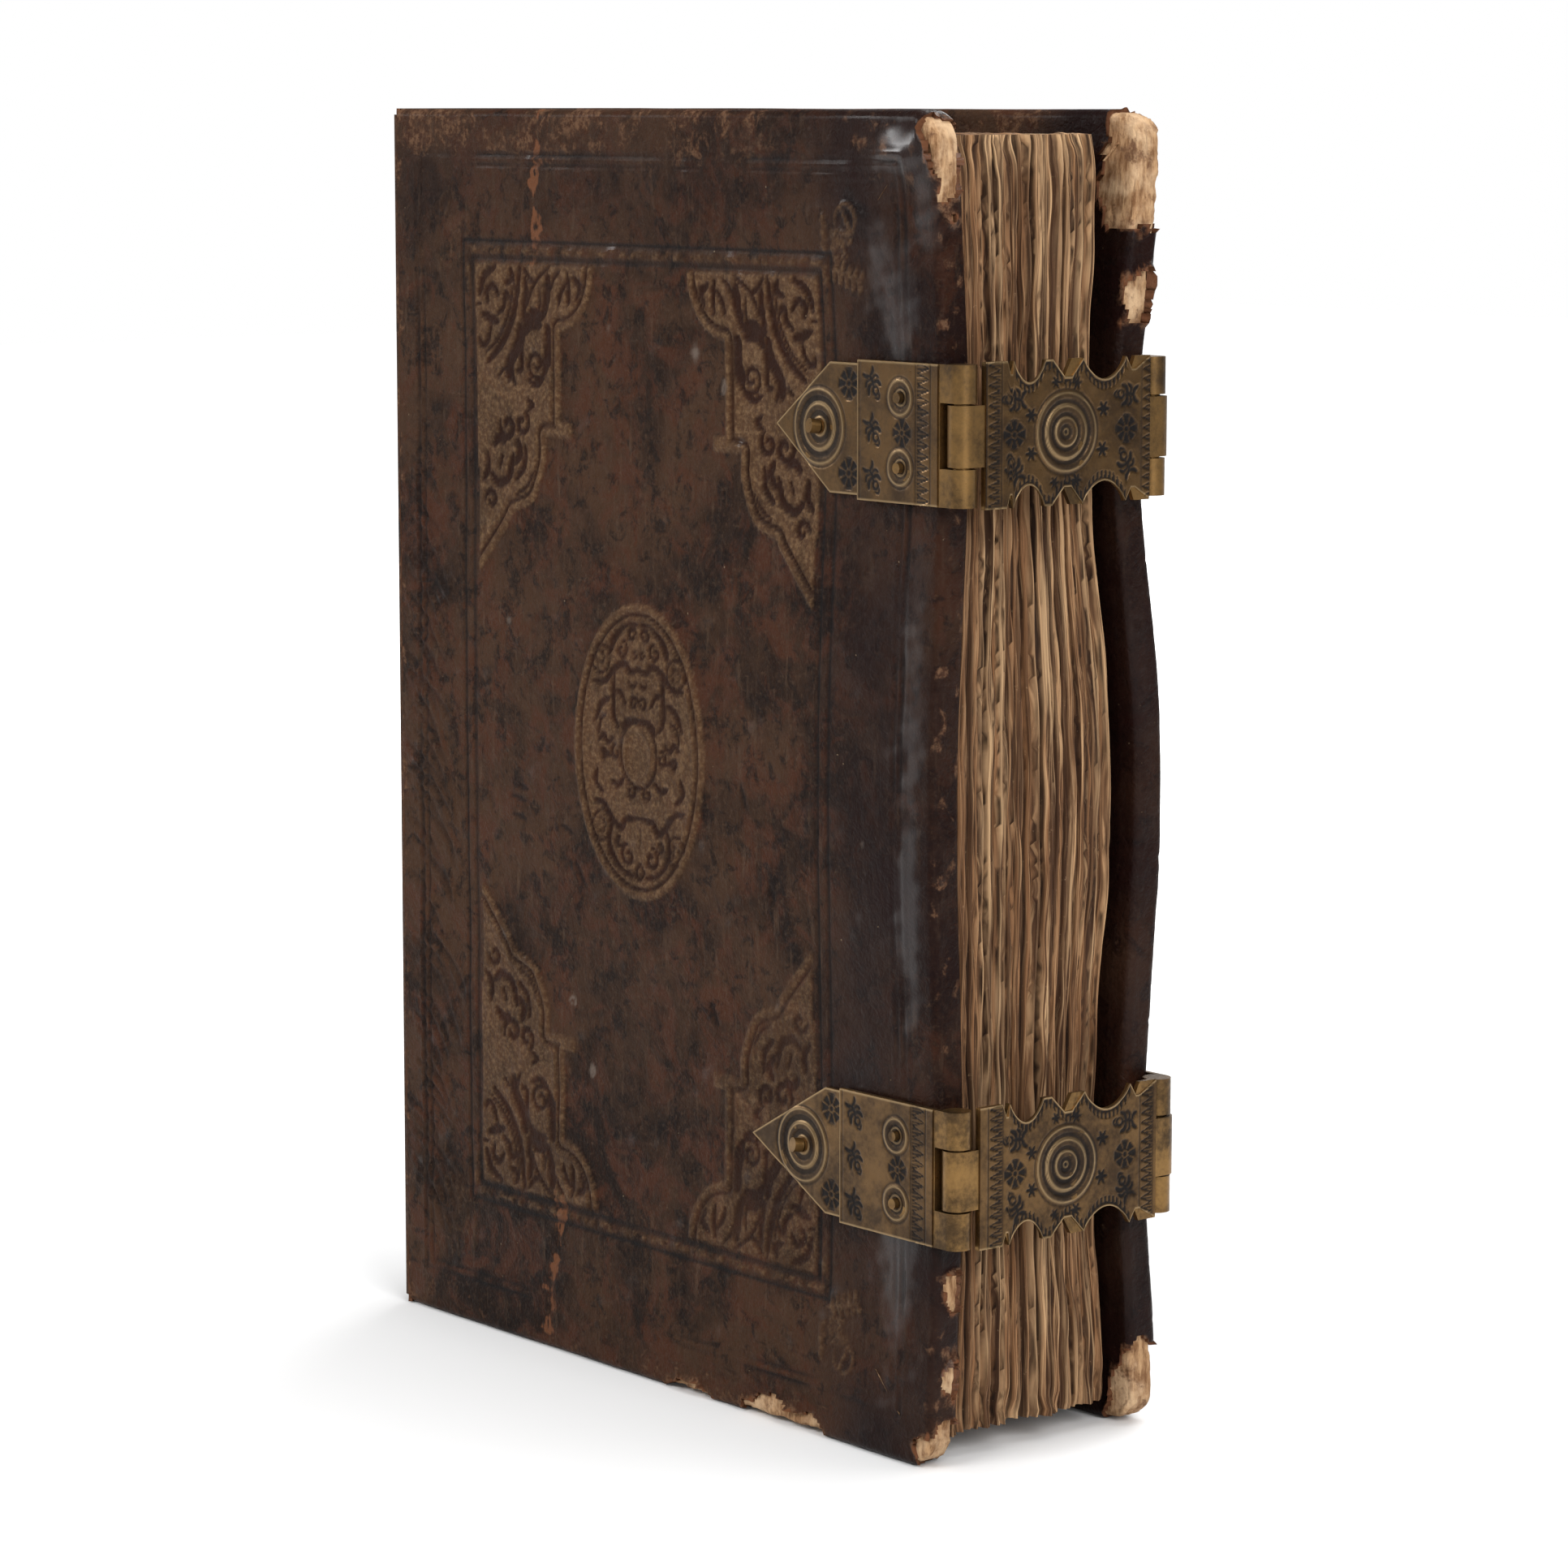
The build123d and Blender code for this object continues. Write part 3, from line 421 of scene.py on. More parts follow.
# The right half of the oval, measured across and up from its middle
OVAL_CURVES = (
    (1.2, (0.6, 20.0), (3.4, 20.2), (6.2, 17.6), (7.4, 15.2)),
    (0.9, (0.0, 13.2), (1.9, 12.5), (3.5, 13.8), (6.2, 12.7), (8.6, 10.6), (11.2, 10.4)),
    (0.8, (6.0, 12.4), (6.4, 8.6), (6.4, 5.4), (5.2, 3.6)),
    (0.7, (3.2, 7.4), (4.4, 9.1), (5.6, 9.3)),
    (0.9, (7.4, 8.0), (9.6, 6.9), (11.2, 4.2)),
    (0.5, (8.2, 5.4), (9.8, 4.4), (10.4, 2.2)),
    (0.8, (6.8, 1.6), (8.2, 1.0), (9.2, 2.0), (10.6, 1.0)),
    (0.9, (7.6, -1.2), (9.4, -0.6), (9.2, -2.0)),
    (1.0, (4.2, 3.0), (3.4, 4.3), (1.6, 4.9), (0.0, 5.0)),
    (0.5, (2.2, 10.8), (1.4, 10.2), (0.4, 10.8)),
    (0.8, (10.8, -3.4), (11.4, -5.6), (9.4, -7.2)),
    (0.8, (4.0, -4.4), (5.6, -5.6), (7.4, -5.2)),
    (0.9, (11.6, -8.6), (9.2, -9.0), (6.6, -11.4), (4.6, -12.4), (3.4, -10.8), (0.0, -10.4)),
    (0.9, (7.0, -11.6), (7.8, -15.2), (5.2, -18.8), (1.6, -19.8)),
    (0.5, (0.0, -12.4), (0.0, -15.0)),
    (0.5, (0.0, -17.6), (1.0, -19.0), (0.0, -20.4)),
)
OVAL_CURLS = (
    (0.55, (1.7, 18.2), 1.2, 0.35, 180, -380),
    (0.5, (4.2, 15.9), 1.5, 0.4, 90, 380),
    (0.4, (0.9, 15.1), 0.7, 0.2, 0, 330),
    (0.5, (1.1, 7.6), 1.1, 0.3, 180, -360),
    (0.6, (6.0, -0.6), 1.3, 0.3, 90, -330),
    (0.5, (2.2, -6.4), 1.3, 0.4, 90, 360),
    (0.6, (3.0, -16.6), 1.9, 0.4, 90, -400),
    (0.5, (5.2, -14.4), 1.0, 0.3, 200, 330),
)


def strokes_of(curves, curls):
    strokes = [(smooth_line(points), width) for width, *points in curves]
    return strokes + [(spiral(*shape), width) for width, *shape in curls]


def mirrored(strokes):
    both = list(strokes)
    for line, width in strokes:
        both.append((line * np.array([-1, 1]), width))
    return both


def leaflet(base, bend, tip):
    return [base, (base[0] + bend[0], base[1] + bend[1]), (base[0] + tip[0], base[1] + tip[1])]


def berry_stamp():
    """A stamped fruit with scaly berries under it, and a lobed leaf to one side."""
    stalk = (0.4, (0.2, 4.6), (1.6, 2.0), (2.6, 0.6))
    fruit = (0.4, (1.2, 2.6), 2.4, 2.2, 200, -330)
    strokes = strokes_of([stalk], [fruit])
    for row in range(4):
        for place in range(4 - row // 2):
            centre = (-1.9 + place * 1.15 + 0.4 * (row % 2), 0.6 - row * 1.15)
            strokes.append((spiral(centre, 0.42, 0.4, 0, 350, 9), 0.3))
    stem = [(-3.0, -4.4), (0.0, -5.2), (4.6, -6.4)]
    strokes.append((smooth_line(stem), 0.5))
    for share in range(5):
        base = (-2.0 + share * 1.4, -4.7 - share * 0.42)
        for bend, tip in (((0.9, 0.7), (1.0, 1.4)), ((0.2, -0.9), (0.0, -1.7))):
            strokes.append((smooth_line(leaflet(base, bend, tip)), 0.7))
    for side in range(3):
        base = (-3.4, -2.0 + side * 1.8)
        strokes.append((smooth_line(leaflet(base, (-0.7, 0.8), (-0.5, 1.8))), 0.8))
    return strokes


# Where the fruit is stamped: x, z, which way round across and up, and how strongly it is left
STAMPS = (
    (114.8, 181.4, 1, 1, 1.0),
    (114.6, 15.8, 1, -1, 0.8),
    (15.8, 181.8, -1, 1, 0.25),
    (15.4, 16.0, -1, -1, 0.3),
)


def turned(strokes, x, z, degrees):
    """Strokes turned about their middle and set down at x and z."""
    angle = math.radians(degrees)
    matrix = np.array([[math.cos(angle), math.sin(angle)], [-math.sin(angle), math.cos(angle)]])
    return [(line @ matrix + np.array([x, z]), width) for line, width in strokes]


def add_corner_pieces(x, z, fields):
    outline = corner_outline()
    cuts = strokes_of(CORNER_CURVES, CORNER_CURLS)
    for u_all, v_all, strength in (
        (x - PANEL_LEFT, PANEL_TOP - z, 0.9),
        (PANEL_RIGHT - x, PANEL_TOP - z, 1.0),
        (x - PANEL_LEFT, z - PANEL_BOTTOM, 0.75),
        (PANEL_RIGHT - x, z - PANEL_BOTTOM, 0.6),
    ):
        near = (u_all > -1) & (u_all < 33) & (v_all > -1) & (v_all < 52)
        u, v = u_all[near], v_all[near]
        depth, within = outline_depth(u, v, outline)
        inside = np.where(within, step(-0.25, 0.25, depth), 0) * step(0, 0.4, np.minimum(u, v))
        rims = bump(depth - 0.75, 0.8) + 0.8 * bump(depth - 2.7, 0.6)
        groove = bump(depth - 1.75, 0.55)
        cut = np.maximum(groove, inked(u, v, cuts) * step(2.0, 2.6, depth))
        rise = inside * (0.26 + 0.26 * rims) - 0.42 * cut
        fields["height"][near] += strength * rise
        fields["raised"][near] = np.maximum(fields["raised"][near], strength * inside * (1 - cut))
        fields["cut"][near] = np.maximum(fields["cut"][near], strength * inside * cut)


def add_medallion(x, z, fields):
    centre_x = (PANEL_LEFT + PANEL_RIGHT) / 2
    centre_z = (PANEL_BOTTOM + PANEL_TOP) / 2
    near = (np.abs(x - centre_x) < MEDALLION[0] + 2) & (np.abs(z - centre_z) < MEDALLION[1] + 2)
    u, v = x[near] - centre_x, z[near] - centre_z
    share = np.hypot(u / MEDALLION[0], v / MEDALLION[1]) + 1e-6
    slope = np.hypot(u / MEDALLION[0]**2, v / MEDALLION[1]**2) / share
    depth = (1 - share) / np.maximum(slope, 1e-3)
    inside = step(-0.25, 0.25, depth)
    rims = bump(depth - 0.75, 0.8) + 0.7 * bump(depth - 2.6, 0.6)
    cut = bump(depth - 1.7, 0.5)
    rise = rims * 0.26
    cut = np.maximum(cut, inked(u, v, mirrored(strokes_of(OVAL_CURVES, OVAL_CURLS))) * step(2.4, 3.2, depth))
    boss = np.hypot(u / 3.6, (v + 0.4) / 4.0)
    ring = bump(boss - 1, 0.2)
    cut = np.maximum(cut, bump(boss - 1.32, 0.14))
    rise = rise + 0.3 * ring - 0.12 * (1 - step(0.8, 0.95, boss))
    for side, level in ((-1, 14.2), (1, 13.0), (-1, -12.4), (1, -14.6)):
        far = np.hypot(u - side * 9.6, v - level)
        angle = np.arctan2(v - level, u - side * 9.6)
        petals = bump(far - 0.95 - 0.25 * np.cos(6 * angle), 0.4)
        cut = np.maximum(cut, np.maximum(0.7 * petals, bump(far - 2.3, 0.4)) * (far < 2.8))
        rise = rise + 0.16 * bump(far - 1.7, 0.5)
    cut = cut * step(0.9, 1.2, depth)
    rise = inside * (0.26 + rise) - 0.4 * cut
    worn = 0.85
    fields["height"][near] += worn * rise
    fields["raised"][near] = np.maximum(fields["raised"][near], worn * inside * (1 - cut))
    fields["cut"][near] = np.maximum(fields["cut"][near], worn * inside * cut)


def frame_distance(x, z, left, right, bottom, top):
    """Distance from the outline of a rectangle."""
    across = np.abs(x - (left + right) / 2) - (right - left) / 2
    along = np.abs(z - (bottom + top) / 2) - (top - bottom) / 2
    outside = np.hypot(np.maximum(across, 0), np.maximum(along, 0))
    return np.abs(outside + np.minimum(np.maximum(across, along), 0))


def panel_distance(x, z, margin):
    """Distance from a rectangle drawn this far outside the panel."""
    return frame_distance(
        x, z, PANEL_LEFT - margin, PANEL_RIGHT + margin, PANEL_BOTTOM - margin, PANEL_TOP + margin
    )


def add_lines(x, z, fields):
    """Blind fillets round the cover and round the panel."""
    ragged = waves(11, 0.8, 4, 10)(x, 0, z)
    patchy = step(-1.1, 0.6, waves(12, 9, 60)(x, 0, z))
    for inset, width, strength in ((7.2, 0.6, 1.0), (8.9, 0.45, 0.75)):
        gap = frame_distance(x, z, inset - 1.5, WIDTH - inset, inset, HEIGHT - inset)
        line = bump(gap, width) * strength * patchy
        fields["height"] -= 0.3 * line
        fields["height"] += 0.1 * bump(gap - 0.75, 0.5) * strength
        fields["line"] = np.maximum(fields["line"], line)
    for margin, width, strength in ((0.6, 0.55, 1.0), (3.2, 0.6, 1.0)):
        gap = panel_distance(x, z, margin)
        line = bump(gap, width) * strength
        fields["height"] -= 0.24 * line
        fields["line"] = np.maximum(fields["line"], line)
    gap = panel_distance(x, z, 1.8)
    level = step(8, 0, np.minimum(np.abs(z - PANEL_TOP), np.abs(z - PANEL_BOTTOM)))
    roll = bump(gap, 0.9 + 0.2 * ragged) * step(-0.6, 0.6, ragged) * level
    fields["height"] += 0.28 * roll
    fields["raised"] = np.maximum(fields["raised"], 0.7 * roll)


WRINKLES = 52
# The old fold near the joint: x and z down the cover
FOLD = (
    (39.6, 200), (38.6, 190), (37.4, 175), (37.0, 150), (38.5, 120),
    (41, 80), (43, 45), (43.4, 22), (40, 4),
)
# Cuts that show: middle, length and turn in degrees
NICKS = (
    (33.0, 89.6, 4.5, -12),
    (33.4, 86.6, 4.0, -14),
    (34.6, 91.4, 2.4, -10),
    (91.8, 96.3, 4.5, -68),
    (98.6, 82.1, 3.0, -60),
    (83.7, 61.2, 4.0, -66),
    (46.0, 86.0, 3.6, -20),
    (49.5, 79.5, 4.4, -55),
)
SMALL_NICKS = 46
# Pale scuffs: middle and size
SCUFFS = (
    (57.2, 166.1, 1.0),
    (79.0, 162.9, 1.3),
    (86.0, 158.0, 0.7),
    (30.5, 118.0, 0.8),
    (47.0, 58.0, 0.6),
    (52.0, 47.0, 0.7),
    (120.5, 92.0, 1.2),
    (70.5, 34.0, 0.5),
)


def add_wrinkles(x, z, fields):
    """Creases that run down from the joint, where the leather was pulled over the spine."""
    rng = np.random.default_rng(5)
    for index in range(WRINKLES):
        level = 20 + 128 * (index + rng.uniform(-0.4, 0.4)) / WRINKLES
        start = rng.uniform(1.5, 6.0)
        run = rng.uniform(5.0, 12.0)
        drop = run * rng.uniform(0.5, 1.3)
        line = smooth_line([
            (start, level),
            (start + run * 0.4, level - drop * 0.25),
            (start + run * 0.75, level - drop * 0.6),
            (start + run, level - drop),
        ])
        distance = distance_to(x, z, line, taper(len(line), 0.7, 0.1), 3.0)
        strength = rng.uniform(0.5, 1.0)
        crease = 1 - step(-0.3, 0.45, distance)
        swell = bump(distance - 0.9, 0.9)
        fields["height"] += strength * (0.13 * swell - 0.25 * crease)
        # The crease field paints shade into the crease
        fields["crease"] = np.maximum(fields["crease"], 0.55 * strength * crease)


def add_cracks(x, z, fields):
    """The old fold near the joint, broken at head and tail, and small cuts and dents."""
    wander = waves(21, 1.5, 9)(x, 0, z)
    line = smooth_line(FOLD)
    gap = distance_to(x, z, line, np.zeros(len(line)), 7.0) + 0.9 * wander
    ends = step(158, 185, z) + step(34, 20, z) + 0.12
    fields["red"] = np.maximum(fields["red"], bump(gap, 1.6) * np.clip(ends, 0, 1))
    fields["height"] -= 0.1 * bump(gap, 1.8) * np.clip(ends + 0.2, 0, 1)
    rng = np.random.default_rng(8)
    nicks = list(NICKS)
    for _ in range(SMALL_NICKS):
        nicks.append((rng.uniform(6, 130), rng.uniform(8, 192), rng.uniform(0.8, 4.0), rng.uniform(-90, 20)))
    for index, (middle_x, middle_z, length, turn) in enumerate(nicks):
        angle = math.radians(turn)
        reach = np.array([math.cos(angle), math.sin(angle)]) * length / 2
        middle = np.array([middle_x, middle_z])
        line = smooth_line([middle - reach, middle + reach * 0.1 + 0.12, middle + reach])
        deep = index < len(NICKS)
        width = 0.75 if deep else 0.34
        mark = 1 - step(-0.15, 0.25, distance_to(x, z, line, taper(len(line), width, 0.1)))
        fields["height"] -= 0.16 * mark * (1.5 if deep else 0.7)
        # The crease field paints shade into each nick
        fields["crease"] = np.maximum(fields["crease"], mark * (0.8 if deep else 0.4))
    for middle_x, middle_z, size in SCUFFS:
        gap = np.hypot((x - middle_x) * 1.3, z - middle_z) + 0.5 * wander
        fields["scuff"] = np.maximum(fields["scuff"], bump(gap, size * 1.2))


LEATHER_MARKS = ("raised", "cut", "line", "crease", "red", "scuff", "worn", "gloss", "shine")


def blank_marks(x):
    return {key: np.zeros(x.shape) for key in LEATHER_MARKS}


def front_fields(x, y, z):
    """Everything that is pressed, worn or torn in the front cover's leather, by place."""
    fields = {"height": np.zeros(x.shape), **blank_marks(x)}
    add_lines(x, z, fields)
    add_corner_pieces(x, z, fields)
    add_medallion(x, z, fields)
    for middle_x, middle_z, across, along, strength in STAMPS:
        strokes = [(line * (across, along) + (middle_x, middle_z), width) for line, width in berry_stamp()]
        mark = inked(x, z, strokes, 0.2)
        fields["height"] += strength * 0.32 * mark
        fields["raised"] = np.maximum(fields["raised"], 0.75 * strength * mark)
    add_wrinkles(x, z, fields)
    add_cracks(x, z, fields)
    broad = waves(31, 14, 60)(x, y, z)
    fine = waves(32, 1.6, 7)(x, y, z)
    fields["height"] += 0.09 * broad + 0.018 * fine
    head = step(13, 2, HEIGHT - z) * step(1.0, -0.4, broad)
    tail = step(9, 1, z) * step(0.8, -0.6, broad)
    edge = step(2.4, 0.4, WIDTH - x) * step(0.2, 1.4, fine)
    joint = step(3.5, 0.3, x) * step(-0.2, 1.0, fine)
    fields["worn"] = np.clip(0.55 * head + 0.4 * tail + 0.5 * edge + 0.6 * joint, 0, 1)
    fields["gloss"] = np.clip(step(104, 122, x) * (0.75 + 0.25 * broad) + 0.25 * step(168, 190, z), 0, 1)
    for middle_x, middle_z, across, along, rise in POLISHED:
        spot = np.exp(-((x - middle_x) / across)**2 - ((z - middle_z) / along)**2)
        fields["height"] += rise * spot
        fields["shine"] = np.maximum(fields["shine"], step(0.15, 0.7, spot + 0.12 * fine))
    return fields


# Places where the leather is polished and swollen: x, z, half sizes, rise
POLISHED = (
    (129.0, 193.5, 6.0, 3.2, 0.75),
    (134.0, 186.0, 2.5, 6.0, 0.09),
    (127.5, 172.0, 4.0, 9.0, 0.16),
    (124.0, 179.0, 3.0, 5.0, 0.09),
    (131.5, 120.0, 2.4, 18.0, 0.07),
    (131.0, 84.0, 2.2, 16.0, 0.05),
    (128.0, 30.0, 4.0, 12.0, 0.09),
)


def back_fields(x, y, z):
    """The back cover's leather: the same panel, with scaly creases and wear of its own."""
    fields = {"height": np.zeros(x.shape), **blank_marks(x)}
    add_lines(x, z, fields)
    add_corner_pieces(x, z, fields)
    add_medallion(x, z, fields)
    broad = waves(41, 12, 60)(x, y, z)
    fine = waves(42, 1.6, 7)(x, y, z)
    scales = waves(43, 2.2, 6)(x, y, z)
    edge_zone = step(9, 1, WIDTH - x)
    fields["height"] += 0.1 * broad + 0.018 * fine - 0.25 * edge_zone * bump(scales, 0.22)
    # The crease field paints shade into the scaly creases
    fields["crease"] = np.maximum(fields["crease"], 0.7 * edge_zone * bump(scales, 0.2))
    head = step(14, 2, HEIGHT - z) * step(1.0, -0.4, broad)
    tail = step(12, 1, z) * step(0.8, -0.6, broad)
    fields["worn"] = np.clip(0.6 * head + 0.5 * tail + 0.5 * step(3.5, 0.3, x) * step(-0.2, 1, fine), 0, 1)
    fields["gloss"] = np.clip(step(100, 124, x) * (0.8 + 0.2 * broad), 0, 1)
    return fields


# Tears in the leather: place, reach in mm, and how far each stretches along x, depth and z

FRONT_TEARS = (
    (WIDTH + 1.0, 2.6, HEIGHT - 2.5, 6.0, (1.7, 1.1, 0.62)),
    (WIDTH + 1.0, 3.0, 0.0, 6.4, (1.2, 1.0, 1.0)),
    (101.0, 0.6, -0.4, 9.6, (1.0, 1.6, 2.6)),
    (78.0, 1.2, -0.3, 2.6, (0.5, 1.0, 1.4)),
    (WIDTH + 0.8, 4.2, 26.5, 2.4, (1.3, 1.0, 1.0)),
    (WIDTH + 0.8, 4.0, 13.5, 2.6, (1.3, 1.0, 0.8)),
)
BACK_TEARS = (
    (WIDTH + 1.0, 3.2, HEIGHT - 1.5, 15.5, (1.9, 1.5, 0.95)),
    (WIDTH - 2.0, 5.6, HEIGHT - 9.0, 8.0, (1.5, 1.0, 0.9)),
    (WIDTH + 1.0, 3.0, 0.5, 11.0, (1.6, 1.0, 0.95)),
    (WIDTH + 0.7, 2.6, 172.0, 2.6, (1.2, 1.0, 0.7)),
)


def torn(tears, x, depth, z, seed):
    """Above zero where the leather is gone."""
    ragged = waves(seed, 2.4, 11, 18)(x, depth, z) + 0.2 * waves(seed + 1, 1.1, 2.4, 12)(x, depth, z)
    result = np.full(x.shape, -FAR)
    for at_x, at_depth, at_z, reach, stretch in tears:
        gap = np.sqrt(
            ((x - at_x) * stretch[0])**2 + ((depth - at_depth) * stretch[1])**2 + ((z - at_z) * stretch[2])**2
        )
        result = np.maximum(result, reach - gap + ragged * min(1.0, reach / 6))
    return result


def plan_outline(inset, counts, start_x):
    """Points round tail, fore-edge and head of a cover, at one inset from its outline."""
    tail, corner, fore = counts
    radius = max(CORNER - inset, 0.0)
    far_x = WIDTH - inset - radius
    low = inset + radius
    high = HEIGHT - inset - radius
    along = np.linspace(0, 1, tail)
    turn = np.linspace(0, np.pi / 2, corner + 2)[1:-1]
    up = np.linspace(0, 1, fore)
    x = np.concatenate([
        start_x + (far_x - start_x) * along, far_x + radius * np.sin(turn),
        np.full(fore, WIDTH - inset), far_x + radius * np.cos(turn), far_x + (start_x - far_x) * along,
    ])
    z = np.concatenate([
        np.full(tail, inset), low - radius * np.cos(turn),
        low + (high - low) * up, high + radius * np.sin(turn), np.full(tail, HEIGHT - inset),
    ])
    return x, z


def edge_profile(strip, arris_steps, side_steps, turn_steps):
    """Inset and depth along the path from the face over the edge and in under the board."""
    quarter = np.linspace(0, np.pi / 2, arris_steps)
    parts = [
        [(inset, 0.0) for inset in strip],
        [(ARRIS - ARRIS * math.sin(a), ARRIS - ARRIS * math.cos(a)) for a in quarter[1:]],
        [(0.0, ARRIS + (THICK - 2 * ARRIS) * share) for share in np.linspace(0, 1, side_steps)[1:]],
        [(ARRIS - ARRIS * math.cos(a), THICK - ARRIS + ARRIS * math.sin(a)) for a in quarter[1:]],
        [(ARRIS + (TURN_IN - ARRIS) * share, THICK) for share in np.linspace(0, 1, turn_steps)[1:]],
        [(TURN_IN, THICK - 0.7)],
    ]
    return [pair for part in parts for pair in part]


def cover_strip(name, side, bows, fields_of, tears, seed, spacing, material):
    """Leather round the border of a cover, over its edges and turned in underneath."""
    strip = np.linspace(FRAME_WIDTH, ARRIS, int((FRAME_WIDTH - ARRIS) / spacing) + 2)
    profile = edge_profile(strip, 6, 9, 14)
    counts = (int(WIDTH / spacing), CORNER_STEPS, int(HEIGHT / spacing))
    rows = [plan_outline(inset, counts, JOINT_GAP) for inset, _ in profile]
    x = np.array([row[0] for row in rows])
    z = np.array([row[1] for row in rows])
    depth = np.repeat(np.array([pair[1] for pair in profile])[:, None], x.shape[1], axis=1)
    return leather_piece(name, side, bows, x, z, depth, fields_of, tears, seed, material, (np.s_[0, :],))


def cover_middle(name, side, bows, fields_of, tears, seed, spacing, z_range, material):
    """Leather over the middle of a cover, between two heights."""
    columns = int((WIDTH - FRAME_WIDTH - JOINT_GAP) / spacing) + 1
    rows = int((z_range[1] - z_range[0]) / spacing) + 1
    x, z = np.meshgrid(
        np.linspace(JOINT_GAP, WIDTH - FRAME_WIDTH, columns), np.linspace(*z_range, rows), indexing="ij"
    )
    seams = (np.s_[-1, :], np.s_[:, 0], np.s_[:, -1])
    return leather_piece(name, side, bows, x, z, np.zeros(x.shape), fields_of, tears, seed, material, seams)


def cover_normals(side, bows, x, z, depth, base):
    """Outward directions: exact on both faces, measured from the grid round the edges."""
    normals = grid_normals(base)
    outward = -1 if (normals[0, :, 1].mean() * side) < 0 else 1
    slope_x = (cover_face(side, bows, x + 0.5, z) - cover_face(side, bows, x - 0.5, z))[..., None]
    slope_z = (cover_face(side, bows, x, z + 0.5) - cover_face(side, bows, x, z - 0.5))[..., None]
    face = np.concatenate([-slope_x, np.ones_like(slope_x), -slope_z], axis=-1) * side
    face /= np.linalg.norm(face, axis=-1, keepdims=True)
    outer = (depth < 1e-6)[..., None]
    inner = (depth > THICK - 1e-6)[..., None]
    normals = np.where(outer, face, np.where(inner, -face, normals * outward))
    return normals, outward


def leather_piece(name, side, bows, x, z, depth, fields_of, tears, seed, material, seams):
    base = cover_points(side, bows, x, z, depth)
    normals, outward = cover_normals(side, bows, x, z, depth, base)
    fields = fields_of(x, depth * side, z)
    face = step(ARRIS * 1.2, 0, depth)
    height = fields.pop("height") * (0.25 + 0.75 * face)
    for key in ("raised", "cut", "line", "crease", "scuff"):
        fields[key] = fields[key] * face
    hollow = torn(tears, x, depth, z, seed)
    lip = step(-2.2, 0.0, hollow)
    fields["worn"] = np.clip(fields["worn"] + 0.8 * lip, 0, 1)
    fields["red"] = np.maximum(fields["red"], 0.8 * step(-1.6, 0.0, hollow))
    curl = 0.35 * step(-1.2, 0.0, hollow) * (1 + waves(seed + 5, 2, 8)(x, depth, z))
    points = base + normals * (height + curl)[..., None]
    points[..., 2] = np.maximum(points[..., 2], 0.0)
    whole = hollow < 0
    keep = whole[:-1, :-1] & whole[1:, :-1] & whole[1:, 1:] & whole[:-1, 1:]
    rim = normals * -(LEATHER * 0.92 + curl)[..., None]
    return grid_piece(name, points, material, fields, keep, rim, outward < 0, seams)


# Exposed wood and fibre at the torn corners

FIBRE_SPACING = 0.55
FIBRE_DEPTHS = (-0.78, -0.45)


def bare_patch(name, side, bows, start, end, material, seed):
    """Rough board over a stretch of the cover's border, as shares of the way round it."""
    strip = np.linspace(TURN_IN, ARRIS, int((TURN_IN - ARRIS) / FIBRE_SPACING))
    profile = edge_profile(strip, 6, 9, 22)[:-1]
    counts = (int(WIDTH / FIBRE_SPACING), CORNER_STEPS, int(HEIGHT / FIBRE_SPACING))
    rows = [plan_outline(inset, counts, JOINT_GAP) for inset, _ in profile]
    total = len(rows[0][0])
    cut = slice(int(total * start), int(total * end))
    x = np.array([row[0][cut] for row in rows])
    z = np.array([row[1][cut] for row in rows])
    depth = np.repeat(np.array([pair[1] for pair in profile])[:, None], x.shape[1], axis=1)
    base = cover_points(side, bows, x, z, depth)
    normals = grid_normals(base)
    if (normals[0, :, 1].mean() * side) < 0:
        normals = -normals
    fibre = waves(seed, 1.0, 5.0, 18)(x, depth * 2.5, z)
    lumps = waves(seed + 1, 4, 14)(x, depth, z)
    sink = np.clip(-0.62 + 0.14 * fibre + 0.16 * lumps, *FIBRE_DEPTHS)
    points = base + normals * sink[..., None]
    points[..., 2] = np.maximum(points[..., 2], 0.0)
    fields = {"fibre": fibre, "dirt": step(0.3, 1.3, waves(seed + 2, 3, 16)(x, depth, z))}
    return grid_piece(name, points, material, fields, flip=(grid_normals(points)[0, :, 1].mean() * side) < 0)


# Leaves

LEAF_COLUMNS = 270
LEAF_ROWS = 180
END_ROWS = 90
SIDE_ROWS = 24
RIBS = 4
LEAVES_RADIUS = SPINE_RADIUS - LEATHER - 0.2
LEAVES_HALF = HALF - THICK - SOFT_GAP


